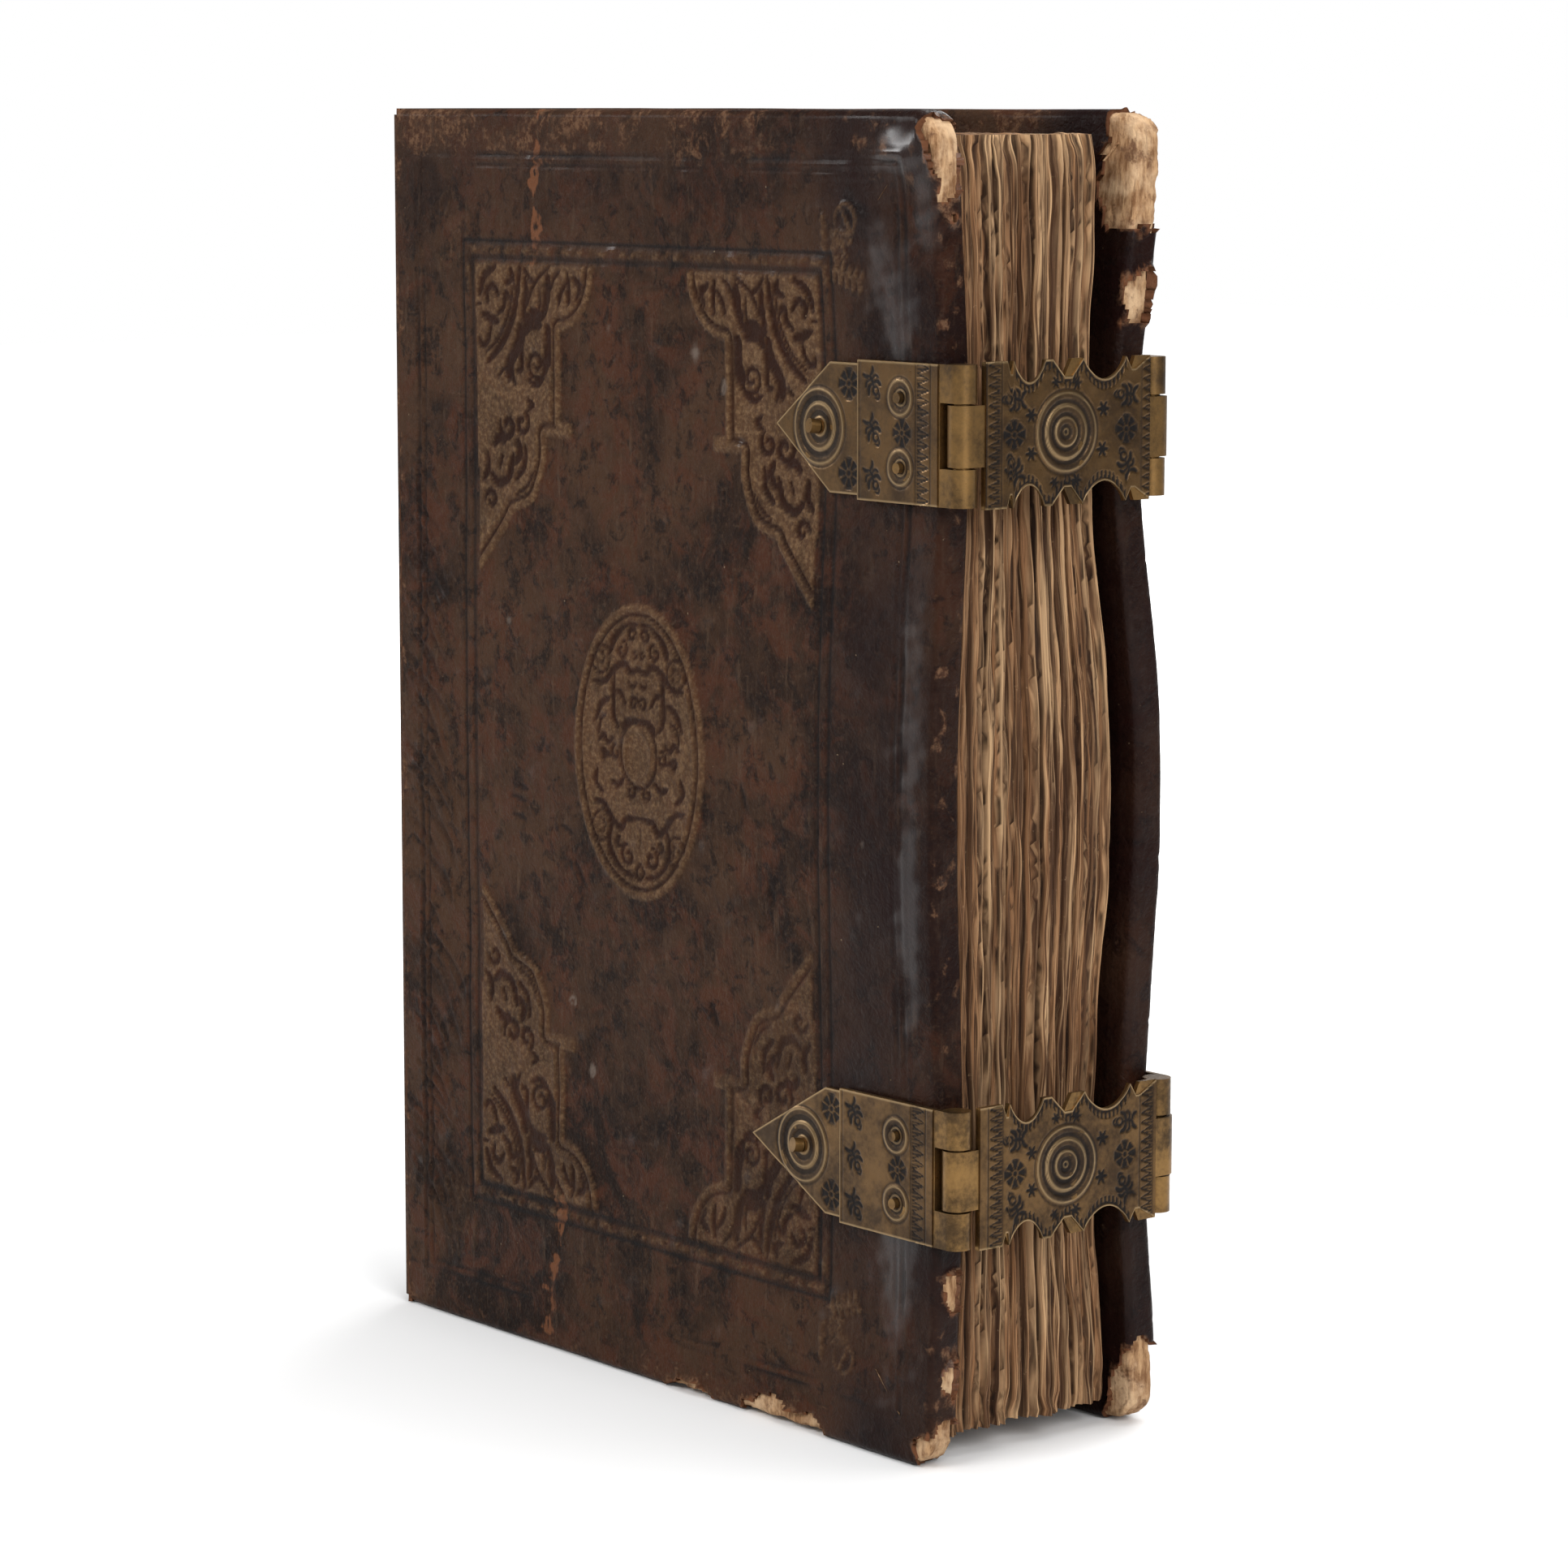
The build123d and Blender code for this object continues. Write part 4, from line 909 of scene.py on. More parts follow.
def leaf_depth(share, z, seed=61):
    """How far the leaves stand back at the fore-edge in mm, their place across, tone and gaps."""
    rng = np.random.default_rng(seed)
    bends = waves(seed + 1, 30, 140, 8)(share * 20, 0, z)
    local = share + 0.006 * bends + 0.003 * waves(seed + 2, 8, 30, 10)(share * 60, 0, z)
    place = np.clip(local, 0, 0.9999) * GATHERINGS
    gathering = np.floor(place).astype(int)
    within = place - gathering
    set_back = rng.uniform(0.0, 1.1, GATHERINGS + 1)[gathering]
    scallop = 1.3 * (np.abs(within - 0.5) * 2)**2.4
    rib_place = local * GATHERINGS * RIBS + 0.16 * waves(seed + 5, 1.5, 6, 10)(share * 50, 0, z * 0.05)
    rib = np.floor(rib_place)
    across_rib = np.abs(rib_place - rib - 0.5) * 2
    dice = np.random.default_rng(seed + 3).uniform(0, 1, (2, GATHERINGS * RIBS + 24))
    pick = np.clip(rib.astype(int) + 12, 0, dice.shape[1] - 1)
    ripple = waves(seed + 4, 5, 40, 14)(rib * 7.3, 0, z)
    depth = set_back + scallop + 1.5 * dice[0][pick]**1.6 + 0.25 * ripple + 0.5 * across_rib**4
    tone = dice[1][pick]
    crack = step(0.72, 1.0, across_rib) * step(0.25, 0.6, np.roll(dice[0], 5)[pick])
    # gap marks painted shade between gatherings and in the cracks between ribs
    gap = np.maximum(step(0.8, 1.0, np.abs(within - 0.5) * 2), crack)
    return depth, local, tone, gap


def block_faces(z):
    """The y of the block's front and back at the fore-edge, by height."""
    inner = THICK + SOFT_GAP
    edge_x = WIDTH - SQUARE
    front = cover_face(FRONT, FRONT_BOW, edge_x, z) + inner
    heights = (SQUARE,) + STATIONS[1:-1] + (HEIGHT - SQUARE,)
    gap = np.interp(z, heights, BLOCK_BACK_GAP)
    back = cover_face(BACK, BACK_BOW, edge_x, z) - inner - gap
    return front, back


def leaf_block(material, face_material):
    """The leaves: fore-edge, tail, head and the two outer faces."""
    z = np.linspace(SQUARE, HEIGHT - SQUARE, LEAF_ROWS)
    s, level = np.meshgrid(np.linspace(0, 1, LEAF_COLUMNS), z, indexing="ij")
    front, back = block_faces(level)
    depth, local, tone, gap = leaf_depth(s, level)
    near_end = np.minimum(level - SQUARE, HEIGHT - SQUARE - level)
    curl = step(7, 0, near_end) * (0.5 + 0.5 * waves(66, 4, 12)(s * 60, 0, level))
    x = WIDTH - SQUARE + 1.2 - depth - 0.8 * curl
    y = front + (back - front) * s + 0.35 * curl * waves(67, 5, 15)(s * 40, 0, level)
    points = np.stack([x, y, level], axis=-1)
    fields = {"leaf": local, "tone": tone, "gap": gap, "bright": step(2.0, 0.6, depth) * 0.9 + 0.5 * curl}
    pieces = [grid_piece("leaf_edges", points, material, fields)]
    for name, index, flip in (("leaf_tails", 0, False), ("leaf_heads", -1, True)):
        marks = {key: value[:, index] for key, value in fields.items()}
        pieces.append(leaf_end(name, points[:, index], marks, flip, material))
    for name, index, flip in (("leaf_front", 0, False), ("leaf_back", -1, True)):
        pieces.append(leaf_side(name, points[index], flip, face_material))
    return pieces


def leaf_end(name, fore_edge, marks, flip, material):
    """The leaves' cut ends, from the round of the spine to the line of the fore-edge."""
    run, share = np.meshgrid(np.linspace(0, 1, END_ROWS), np.linspace(0, 1, LEAF_COLUMNS), indexing="ij")
    spine_y = (share * 2 - 1) * LEAVES_HALF
    spine_x = SPINE_CENTRE - np.sqrt(LEAVES_RADIUS**2 - spine_y**2)
    x = spine_x + (fore_edge[:, 0] - spine_x) * run
    y = spine_y + (fore_edge[:, 1] - spine_y) * run
    ripple = 0.25 * marks["tone"] + 0.12 * waves(68, 3, 12)(x, share * 50, 0)
    fade = step(0, 0.012, 1 - run) * step(0, 0.02, run)
    z = fore_edge[:, 2] + (-1 if flip else 1) * ripple * fade
    fields = {
        "leaf": marks["leaf"],
        "tone": marks["tone"],
        # The painted shade between the leaves, weaker on the cut ends
        "gap": marks["gap"] * 0.6,
        "bright": 0.25 + 0.2 * waves(69, 4, 20)(x, y, 0),
    }
    return grid_piece(name, np.stack([x, y, z], axis=-1), material, fields, flip=flip)


def leaf_side(name, fore_edge, flip, material):
    """The face of the outermost leaf, on one side of the block."""
    run, z = np.meshgrid(np.linspace(0, 1, SIDE_ROWS), fore_edge[:, 2], indexing="ij")
    spine_y = LEAVES_HALF * (1 if flip else -1)
    spine_x = SPINE_CENTRE - math.sqrt(LEAVES_RADIUS**2 - spine_y**2)
    x = spine_x + (fore_edge[:, 0] - spine_x) * run
    y = spine_y + (fore_edge[:, 1] - spine_y) * run
    return grid_piece(name, np.stack([x, y, z], axis=-1), material, {}, flip=flip)


# Spine

SPINE_GRID = (90, 320)
SPINE_INSET = 0.12
STRIP_EDGES = (-1.6, 1.8)
STRIP_GRID = (12, 200)
STRIP_DEPTH = 0.42


def spine_skin(material):
    """Leather round the spine, raised over four bands and closed at its edges."""
    sweep = math.degrees(math.asin(HALF / SPINE_RADIUS)) - 0.1
    around = np.linspace(-sweep, sweep, SPINE_GRID[0])
    turn, z = np.meshgrid(around, np.linspace(0, HEIGHT, SPINE_GRID[1]), indexing="ij")
    angle = np.radians(turn)
    rise = np.zeros(turn.shape)
    tops = np.zeros(turn.shape)
    for height in BANDS:
        across = np.clip(1 - ((z - height) / BAND_RISE)**2, 0, 1)
        ends = step(BAND_SWEEP, BAND_SWEEP - 3, np.abs(turn))
        band = BAND_RISE * np.sqrt(across) * ends
        skirt = 0.5 * bump(z - height, 5.0) * ends
        rise = np.maximum(rise, np.maximum(band, skirt))
        tops = np.maximum(tops, step(0.6, 1.0, across) * ends)
    broad = waves(71, 8, 40)(turn, 0, z)
    fine = waves(72, 1.4, 6)(turn * 0.6, 0, z)
    cracks = waves(73, 2, 7)(turn * 0.35, 0, z)
    rise = rise + 0.1 * broad + 0.03 * fine - 0.12 * bump(cracks, 0.16)
    radius = SPINE_RADIUS - SPINE_INSET + rise
    head = step(6, 0, np.minimum(z, HEIGHT - z))
    x = np.minimum(SPINE_CENTRE - radius * np.cos(angle), -JOINT_GAP)
    y = radius * np.sin(angle)
    points = np.stack([x, y, z], axis=-1)
    inward = np.stack([np.cos(angle), -np.sin(angle), 0 * angle], axis=-1) * (LEATHER * 0.8 + rise)[..., None]
    fields = blank_marks(x)
    fields["red"] = np.clip(0.7 * tops * step(-0.4, 1, fine), 0, 1)
    # The crease field paints shade into the cracks of the spine
    fields["crease"] = 0.7 * bump(cracks, 0.14)
    fields["worn"] = np.clip(0.5 * tops + 0.7 * head * step(-0.6, 0.8, broad), 0, 1)
    fields["gloss"] = 0.5 + 0.2 * broad
    return grid_piece("spine_skin", points, material, fields, rim=inward, flip=True)


def joint_strip(name, side, material):
    """A narrow strip of leather just under the surface at a joint."""
    across = np.linspace(*STRIP_EDGES, STRIP_GRID[0])
    u, z = np.meshgrid(across, np.linspace(1.0, HEIGHT - 1.0, STRIP_GRID[1]), indexing="ij")
    y = side * (HALF - STRIP_DEPTH - 0.16 * np.maximum(-u, 0))
    points = np.stack([u, y + 0 * z, z], axis=-1)
    fields = blank_marks(u)
    fields["worn"] = fields["worn"] + 0.5
    return grid_piece(name, points, material, fields, flip=side > 0)


# Stamped brass

def rosette(u, v, radius):
    """A round flower of eight petals with a dot in its middle."""
    far = np.hypot(u, v)
    angle = np.arctan2(v, u)
    ring = 1 - step(0.75, 0.95, np.abs(far / radius - 0.62) * 2.6)
    petals = step(0.1, 0.5, np.abs(np.cos(4 * angle))) * ring
    tips = bump(far - radius, 0.25) * step(0.6, 0.9, np.abs(np.cos(2 * angle)))
    return np.maximum(np.maximum(petals, tips), 1 - step(0.14, 0.24, far / radius))


def star(u, v, radius):
    far = np.hypot(u, v)
    angle = np.arctan2(v, u)
    edge = radius * (0.45 + 0.55 * np.abs(np.cos(3 * angle))**2)
    return 1 - step(edge - 0.12, edge + 0.12, far)


def lily():
    """A small stamped sprig: a ringed bud, three leaves and a forked foot."""
    strokes = [
        (spiral((0.1, 1.1), 0.62, 0.6, 0, 350, 10), 0.42),
        (smooth_line([(0, 0.3), (0.1, -0.6), (-0.1, -1.5)]), 0.5),
        (smooth_line([(-0.5, 1.9), (0.1, 2.4), (0.7, 1.9)]), 0.35),
    ]
    for side in (-1, 1):
        strokes.append((smooth_line([(side * 0.2, -0.2), (side * 1.1, 0.1), (side * 1.5, 0.9)]), 0.6))
        strokes.append((smooth_line([(side * 0.2, -0.8), (side * 1.1, -0.9), (side * 1.6, -0.3)]), 0.45))
        strokes.append((smooth_line([(side * 0.1, -1.4), (side * 0.8, -1.7), (side * 1.2, -2.3)]), 0.55))
    return strokes


def zigzag(u, v, centre, half_width, pitch):
    """A wolf-tooth band across a plate: scribed teeth between two lines."""
    place = (v / pitch) % 1.0
    tooth = (1 - np.abs(place * 2 - 1)) * 2 * half_width - half_width
    inside = np.abs(u - centre) < half_width + 0.1
    line = (1 - step(0.16, 0.42, np.abs(u - centre - tooth))) * inside
    hatch = (u - centre > tooth) * (((v / (pitch / 3)) % 1.0) > 0.45) * inside * 0.8
    sides = bump(np.abs(u - centre) - half_width - 0.35, 0.2)
    return np.maximum(np.maximum(line, hatch), 0.85 * sides)


def stamped_skin(name, u, v, place, cut, raise_, bright, material):
    """A thin stamped face. place turns u, v and a height into points."""
    rough = 0.012 * waves(91, 1.2, 7)(u, v, 0)
    height = STAMP_LIFT + raise_ - STAMP_DEPTH * cut + rough
    points = place(u, v, height)
    lower = place(u, v, 0 * height - SKIN_DEPTH)
    # The raised field of brass carries its bright edges: partly polish, partly a painted highlight
    fields = {"cut": cut * (1 - bright), "raised": bright}
    return grid_piece(name, points, material, fields, rim=lower - points)


def leaf_grid(starts, half_of, spacing, rows):
    """A grid over a leaf that is as tall as half_of gives along it."""
    along = [np.linspace(a, b, max(2, int((b - a) / spacing) + 1)) for a, b in zip(starts[:-1], starts[1:])]
    u = np.concatenate([part[:-1] for part in along] + [[starts[-1]]])
    share = np.linspace(-1, 1, rows)
    grid_u, grid_share = np.meshgrid(u, share, indexing="ij")
    return grid_u, grid_share * half_of(grid_u)


def roundel_relief(u, v, radii, width=1.15):
    """Turned rings: how high, how dark and how bright, for a roundel."""
    far = np.hypot(u, v)
    rise = np.zeros(u.shape)
    cut = np.zeros(u.shape)
    bright = np.zeros(u.shape)
    for radius in radii:
        lip = 1 - step(0.42, 0.62, np.abs(far - radius + 0.3))
        groove = 1 - step(0.40, 0.62, np.abs(far - radius + 0.72 + width / 2) / width * 1.1)
        rise = np.maximum(rise, LIP_HEIGHT * lip)
        cut = np.maximum(cut, np.maximum(0.85 * groove * (1 - lip), 0.5 * lip))
        cut = np.maximum(cut, 0.7 * bump(far - radius - 0.55, 0.3))
        # Bright ring edges: partly polish, partly a painted highlight
        edges = np.maximum(bump(far - radius, 0.28), 0.8 * bump(far - radius + 0.72 + width, 0.25))
        bright = np.maximum(bright, edges)
    return rise, cut, bright


def anchor_skins(name, z0, shape, material):
    """The pointed under leaf and the square upper leaf of one anchor plate."""
    leaf_step, shoulder, roundel, tip = shape
    seat = cover_face(FRONT, FRONT_BOW, WIDTH, z0) + PLATE_INLET
    pieces = []

    def half_of(u):
        return np.where(u > shoulder, LEAF_HALF * (tip - u) / (tip - shoulder), LEAF_HALF) - 0.03

    def under(u, v, height):
        return np.stack([WIDTH - u, seat - SHEET - height, z0 + v], axis=-1)

    def over(u, v, height):
        return np.stack([WIDTH - u, seat - 2 * SHEET - height, z0 + v], axis=-1)

    u, v = leaf_grid((leaf_step + 0.05, shoulder, tip - 0.15), half_of, STAMP_SPACING, 104)
    rise, cut, bright = roundel_relief(u - roundel, v, (ROUNDEL, ROUNDEL * 0.6))
    for level in (-6.6, 6.6):
        cut = np.maximum(cut, rosette(u - leaf_step - 2.8, v - level, 2.3))
    # The leaf's outline is painted bright: partly polish, partly a painted highlight
    bright = np.maximum(bright, 1 - step(0.12, 0.4, half_of(u) - np.abs(v)))
    pieces.append(stamped_skin(f"{name}_under_leaf", u, v, under, cut, rise, bright, material))

    def square(u):
        return PLATE_HALF - 0.03 + 0 * u

    u, v = leaf_grid((-0.6, leaf_step - 0.05), square, STAMP_SPACING, 110)
    cut = zigzag(u, v, 2.6, 1.25, 1.6)
    rise = np.zeros(u.shape)
    # The outline and step of the square leaf are painted bright: partly polish, partly a painted highlight
    bright = np.maximum(1 - step(0.12, 0.4, PLATE_HALF - np.abs(v)), 1 - step(0.05, 0.3, leaf_step - u))
    nearest = np.full(u.shape, FAR)
    for level in (-SMALL_RIVET_SPREAD, SMALL_RIVET_SPREAD):
        across, up = u - SMALL_RIVET_INSET, v - level
        ring_rise, ring_cut, ring_bright = roundel_relief(across, up, (SMALL_ROUNDEL,), 0.6)
        far = np.hypot(across, up)
        nearest = np.minimum(nearest, far)
        hole = 1 - step(0.9, 1.2, far)
        rise = np.maximum(rise, ring_rise)
        bright = np.maximum(bright, ring_bright)
        cut = np.maximum(cut, np.maximum(ring_cut, hole * 0.8))
    cut = np.maximum(cut, rosette(u - SMALL_RIVET_INSET + 0.4, v, 2.0))
    for level in (-7.0, 0.0, 6.8):
        cut = np.maximum(cut, inked(u, v, turned(lily(), leaf_step - 3.5, level, 150), 0.12))
    cut = np.maximum(cut, bump(u - leaf_step + 0.7, 0.16) * 0.6)
    rise = np.where(nearest < 0.95, -0.02, rise)
    pieces.append(stamped_skin(f"{name}_upper_leaf", u, v, over, cut, rise, bright, material))
    return pieces


# A clasp's blade: places along it as shares of its length, and how deep its edge is cut there
BLADE_MARGIN = 0.002
SHOULDER_STEP = (0.128, 0.146)
SCOOPS = ((0.167, 0.357), (0.586, 0.848))
SCOOP_LEAD = 0.0005
WAIST = (0.400, 0.473, 0.516)
TIP_STEP = (0.880, 0.905)
STEP_DEPTH = 1.9
SCOOP_DEPTH = 3.2
WAIST_DEPTH = 2.6
# Six-pointed stars round a clasp's roundel: along, up, radius
STARS = (
    (-6.8, 2.7, 1.15),
    (-6.8, -2.9, 1.15),
    (7.4, 3.1, 1.25),
    (7.2, -2.8, 1.25),
    (-2.2, -7.3, 0.95),
    (2.1, -7.1, 1.1),
    (2.1, 7.1, 1.1),
    (-2.0, 7.3, 0.95),
)


def blade_profile():
    """Shares along a clasp's blade with the depth of its edge there."""
    share = np.linspace(0, 1, 15)
    arc = SCOOP_DEPTH * np.sin(np.pi * share)**0.75
    first, second = (list(zip(low + (high - low) * share, arc)) for low, high in SCOOPS)
    points = [(0, 0), (SHOULDER_STEP[0], 0), (SHOULDER_STEP[1], STEP_DEPTH)]
    points += [(SCOOPS[0][0] - SCOOP_LEAD, STEP_DEPTH), *first]
    points += [(WAIST[0], 0), (WAIST[1], WAIST_DEPTH), (WAIST[2], WAIST_DEPTH), *second]
    points += [(TIP_STEP[0], STEP_DEPTH), (TIP_STEP[1], STEP_DEPTH), (1.0, 0)]
    return points


def arm_skin(name, z0, material):
    """The outer face of a clasp's blade."""
    hinge_y = cover_face(FRONT, FRONT_BOW, WIDTH, z0) + PLATE_INLET - 2 * SHEET + BARREL_RADIUS
    catch_y = cover_face(BACK, BACK_BOW, WIDTH, z0) - PLATE_INLET + SHEET - BARREL_RADIUS
    start = hinge_y + BARREL_RADIUS + SWING_CLEAR
    end = catch_y - BARREL_RADIUS - SWING_CLEAR
    length = end - start
    shares, depths = np.array(blade_profile()).T
    outer_x = HINGE_X + BORE_RADIUS + SHEET

    def half_of(u):
        return KNUCKLE_HALF - 0.02 - np.interp(u / length, shares, depths)

    def place(u, v, height):
        return np.stack([outer_x + height, start + u, z0 + v], axis=-1)

    places = (BLADE_MARGIN, *SHOULDER_STEP, *SCOOPS[0], *WAIST, *SCOOPS[1], *TIP_STEP, 1 - BLADE_MARGIN)
    u, v = leaf_grid([share * length for share in places], half_of, STAMP_SPACING, 112)
    middle = ROUNDEL_PLACE * length
    rise, cut, bright = roundel_relief(u - middle, v, tuple(ARM_ROUNDEL * share for share in ARM_RINGS), 0.9)
    cut = np.maximum(cut, 1 - step(0.35, 0.6, np.hypot(u - middle, v)))
    cut = np.maximum(cut, zigzag(u, v, middle - 14.0, 1.1, 1.45))
    cut = np.maximum(cut, zigzag(u, v, middle + 16.4, 1.0, 1.45))
    for along in (-10.1, 12.0):
        cut = np.maximum(cut, rosette(u - middle - along, v, 2.1))
        for level in (-5.0, 5.0):
            strokes = turned(lily(), middle + along, level, 30 + 60 * (level > 0))
            cut = np.maximum(cut, inked(u, v, strokes, 0.12))
    for along, level, radius in STARS:
        cut = np.maximum(cut, star(u - middle - along, v - level, radius))
    inner = half_of(u) - np.abs(v)
    scooped = (u > length * 0.17) & (u < length * 0.85) & (rise < 0.02)
    teeth = (inner > 0.3) & (inner < 1.6) & scooped
    teeth = teeth & (np.abs(((u / 0.8) % 1.0) - 0.5) < 0.46 - 0.24 * (inner - 0.3))
    cut = np.maximum(cut, 0.95 * teeth)
    # The blade's outline is painted bright: partly polish, partly a painted highlight
    bright = np.maximum(bright, 1 - step(0.1, 0.32, inner))
    return stamped_skin(f"{name}_blade_face", u, v, place, cut, rise, bright, material)


# Materials. Colours are linear red, green and blue.

LEATHER_BLACK = (0.0040, 0.0024, 0.0022)
LEATHER_DARK = (0.0105, 0.0050, 0.0032)
LEATHER_BROWN = (0.043, 0.0205, 0.0105)
LEATHER_RED = (0.050, 0.0165, 0.0075)
LEATHER_RUBBED = (0.074, 0.044, 0.027)
GLOSS_PURPLE = (0.009, 0.0026, 0.0024)
GLOSS_BLACK = (0.0025, 0.0017, 0.0022)
WORN_DARK = (0.046, 0.019, 0.010)
WORN_LIGHT = (0.115, 0.060, 0.033)
CRACK_RED = (0.130, 0.050, 0.022)
RAISED_DARK = (0.066, 0.033, 0.016)
RAISED_LIGHT = (0.150, 0.088, 0.044)
SUNK_BROWN = (0.020, 0.0072, 0.0040)
FILLET_BLACK = (0.007, 0.0065, 0.0070)
# Painted shade, near black, for creases, cracks and nicks
CREASE_SHADE = (0.008, 0.006, 0.006)
SCUFF_GREY = (0.13, 0.10, 0.08)
SPECK_TAN = (0.22, 0.16, 0.10)
TORN_EDGE = (0.13, 0.055, 0.028)
FIBRE_DARK = (0.17, 0.080, 0.034)
FIBRE_TAN = (0.46, 0.280, 0.145)
FIBRE_PALE = (0.62, 0.43, 0.26)
FIBRE_DIRT = (0.12, 0.055, 0.028)
LEAF_DARK = (0.048, 0.020, 0.008)
LEAF_TAN = (0.250, 0.120, 0.052)
LEAF_PALE = (0.52, 0.310, 0.155)
LEAF_SHADE = (0.038, 0.015, 0.006)
LEAF_LIT = (0.68, 0.440, 0.235)
LEAF_BLOTCH = (0.085, 0.042, 0.020)
# Painted shade between the leaves
LEAF_GAP_SHADE = (0.014, 0.006, 0.003)
LEAF_FLECK = (0.42, 0.27, 0.15)
# Lighter brass for stamped edges: partly polish, partly a painted highlight
STAMP_POLISH_AND_HIGHLIGHT = (0.30, 0.205, 0.105)
STAMP_SUNK = (0.0125, 0.0115, 0.0120)
LINEN_DARK = (0.30, 0.20, 0.12)
LINEN_PALE = (0.46, 0.34, 0.22)
# Polished and tarnished brass, plain and stamped
BRASS_TONES = ((0.23, 0.130, 0.045), (0.060, 0.036, 0.017))
STAMPED_TONES = ((0.128, 0.072, 0.029), (0.046, 0.027, 0.014))
# Light, dark and stained paper, of the linings and of the leaves
LINING_TONES = ((0.44, 0.32, 0.19), (0.27, 0.170, 0.088), (0.15, 0.080, 0.040))
LEAF_FACE_TONES = ((0.47, 0.345, 0.21), (0.33, 0.220, 0.120), (0.19, 0.105, 0.052))


class Recipe:
    """A material that is built up one node at a time."""

    def __init__(self, name):
        self.material = bpy.data.materials.new(name)
        self.material.use_nodes = True
        self.nodes = self.material.node_tree.nodes
        self.links = self.material.node_tree.links
        self.shader = self.nodes["Principled BSDF"]
        self.place = self.nodes.new("ShaderNodeTexCoord").outputs["Object"]

    def put(self, socket, value):
        if isinstance(value, bpy.types.NodeSocket):
            self.links.new(value, socket)
        elif isinstance(value, tuple) and len(value) == 3 and socket.type == "RGBA":
            socket.default_value = (*value, 1)
        else:
            socket.default_value = value

    def attribute(self, name):
        node = self.nodes.new("ShaderNodeAttribute")
        node.attribute_name = name
        return node.outputs["Fac"]

    def stretch(self, scale):
        node = self.nodes.new("ShaderNodeMapping")
        self.links.new(self.place, node.inputs["Vector"])
        node.inputs["Scale"].default_value = scale
        return node.outputs["Vector"]

    def noise(self, size, detail, rough, vector=None, twist=0.0):
        """Noise with features of about this size in mm."""
        node = self.nodes.new("ShaderNodeTexNoise")
        self.links.new(vector or self.place, node.inputs["Vector"])
        node.inputs["Scale"].default_value = 1 / (size * MM)
        node.inputs["Detail"].default_value = detail
        node.inputs["Roughness"].default_value = rough
        node.inputs["Distortion"].default_value = twist
        return node.outputs["Fac"]

    def cells(self, size, feature="F1"):
        node = self.nodes.new("ShaderNodeTexVoronoi")
        node.feature = feature
        self.links.new(self.place, node.inputs["Vector"])
        node.inputs["Scale"].default_value = 1 / (size * MM)
        return node.outputs["Distance"]

    def ramp(self, value, low, high, start=0.0, end=1.0):
        node = self.nodes.new("ShaderNodeMapRange")
        node.interpolation_type = "SMOOTHSTEP"
        self.put(node.inputs["Value"], value)
        node.inputs["From Min"].default_value = low
        node.inputs["From Max"].default_value = high
        node.inputs["To Min"].default_value = start
        node.inputs["To Max"].default_value = end
        return node.outputs["Result"]

    def math(self, kind, first, second=0.0, clamp=False):
        node = self.nodes.new("ShaderNodeMath")
        node.operation = kind
        node.use_clamp = clamp
        self.put(node.inputs[0], first)
        self.put(node.inputs[1], second)
        return node.outputs["Value"]

    def mix(self, factor, first, second):
        node = self.nodes.new("ShaderNodeMix")
        node.data_type = "RGBA"
        self.put(node.inputs["Factor"], factor)
        self.put(node.inputs[6], first)
        self.put(node.inputs[7], second)
        return node.outputs[2]

    def veil(self, colour, value, low, high, strength, shade):
        """A colour with a shade laid over it as a value goes from low to high."""
        return self.mix(self.ramp(value, low, high, 0.0, strength), colour, shade)

    def stain(self, colour, name, strength, shade):
        """A colour with a shade laid over it where a field of the mesh is strong."""
        return self.mix(self.math("MULTIPLY", self.attribute(name), strength), colour, shade)

    def bump(self, height, depth, strength, normal=None):
        """Fine relief of this depth in mm."""
        node = self.nodes.new("ShaderNodeBump")
        node.inputs["Strength"].default_value = strength
        node.inputs["Distance"].default_value = depth * MM
        self.links.new(height, node.inputs["Height"])
        if normal is not None:
            self.links.new(normal, node.inputs["Normal"])
        return node.outputs["Normal"]

    def finish(self, colour, roughness, normal=None):
        self.put(self.shader.inputs["Base Color"], colour)
        self.put(self.shader.inputs["Roughness"], roughness)
        if normal is not None:
            self.links.new(normal, self.shader.inputs["Normal"])
        return self.material


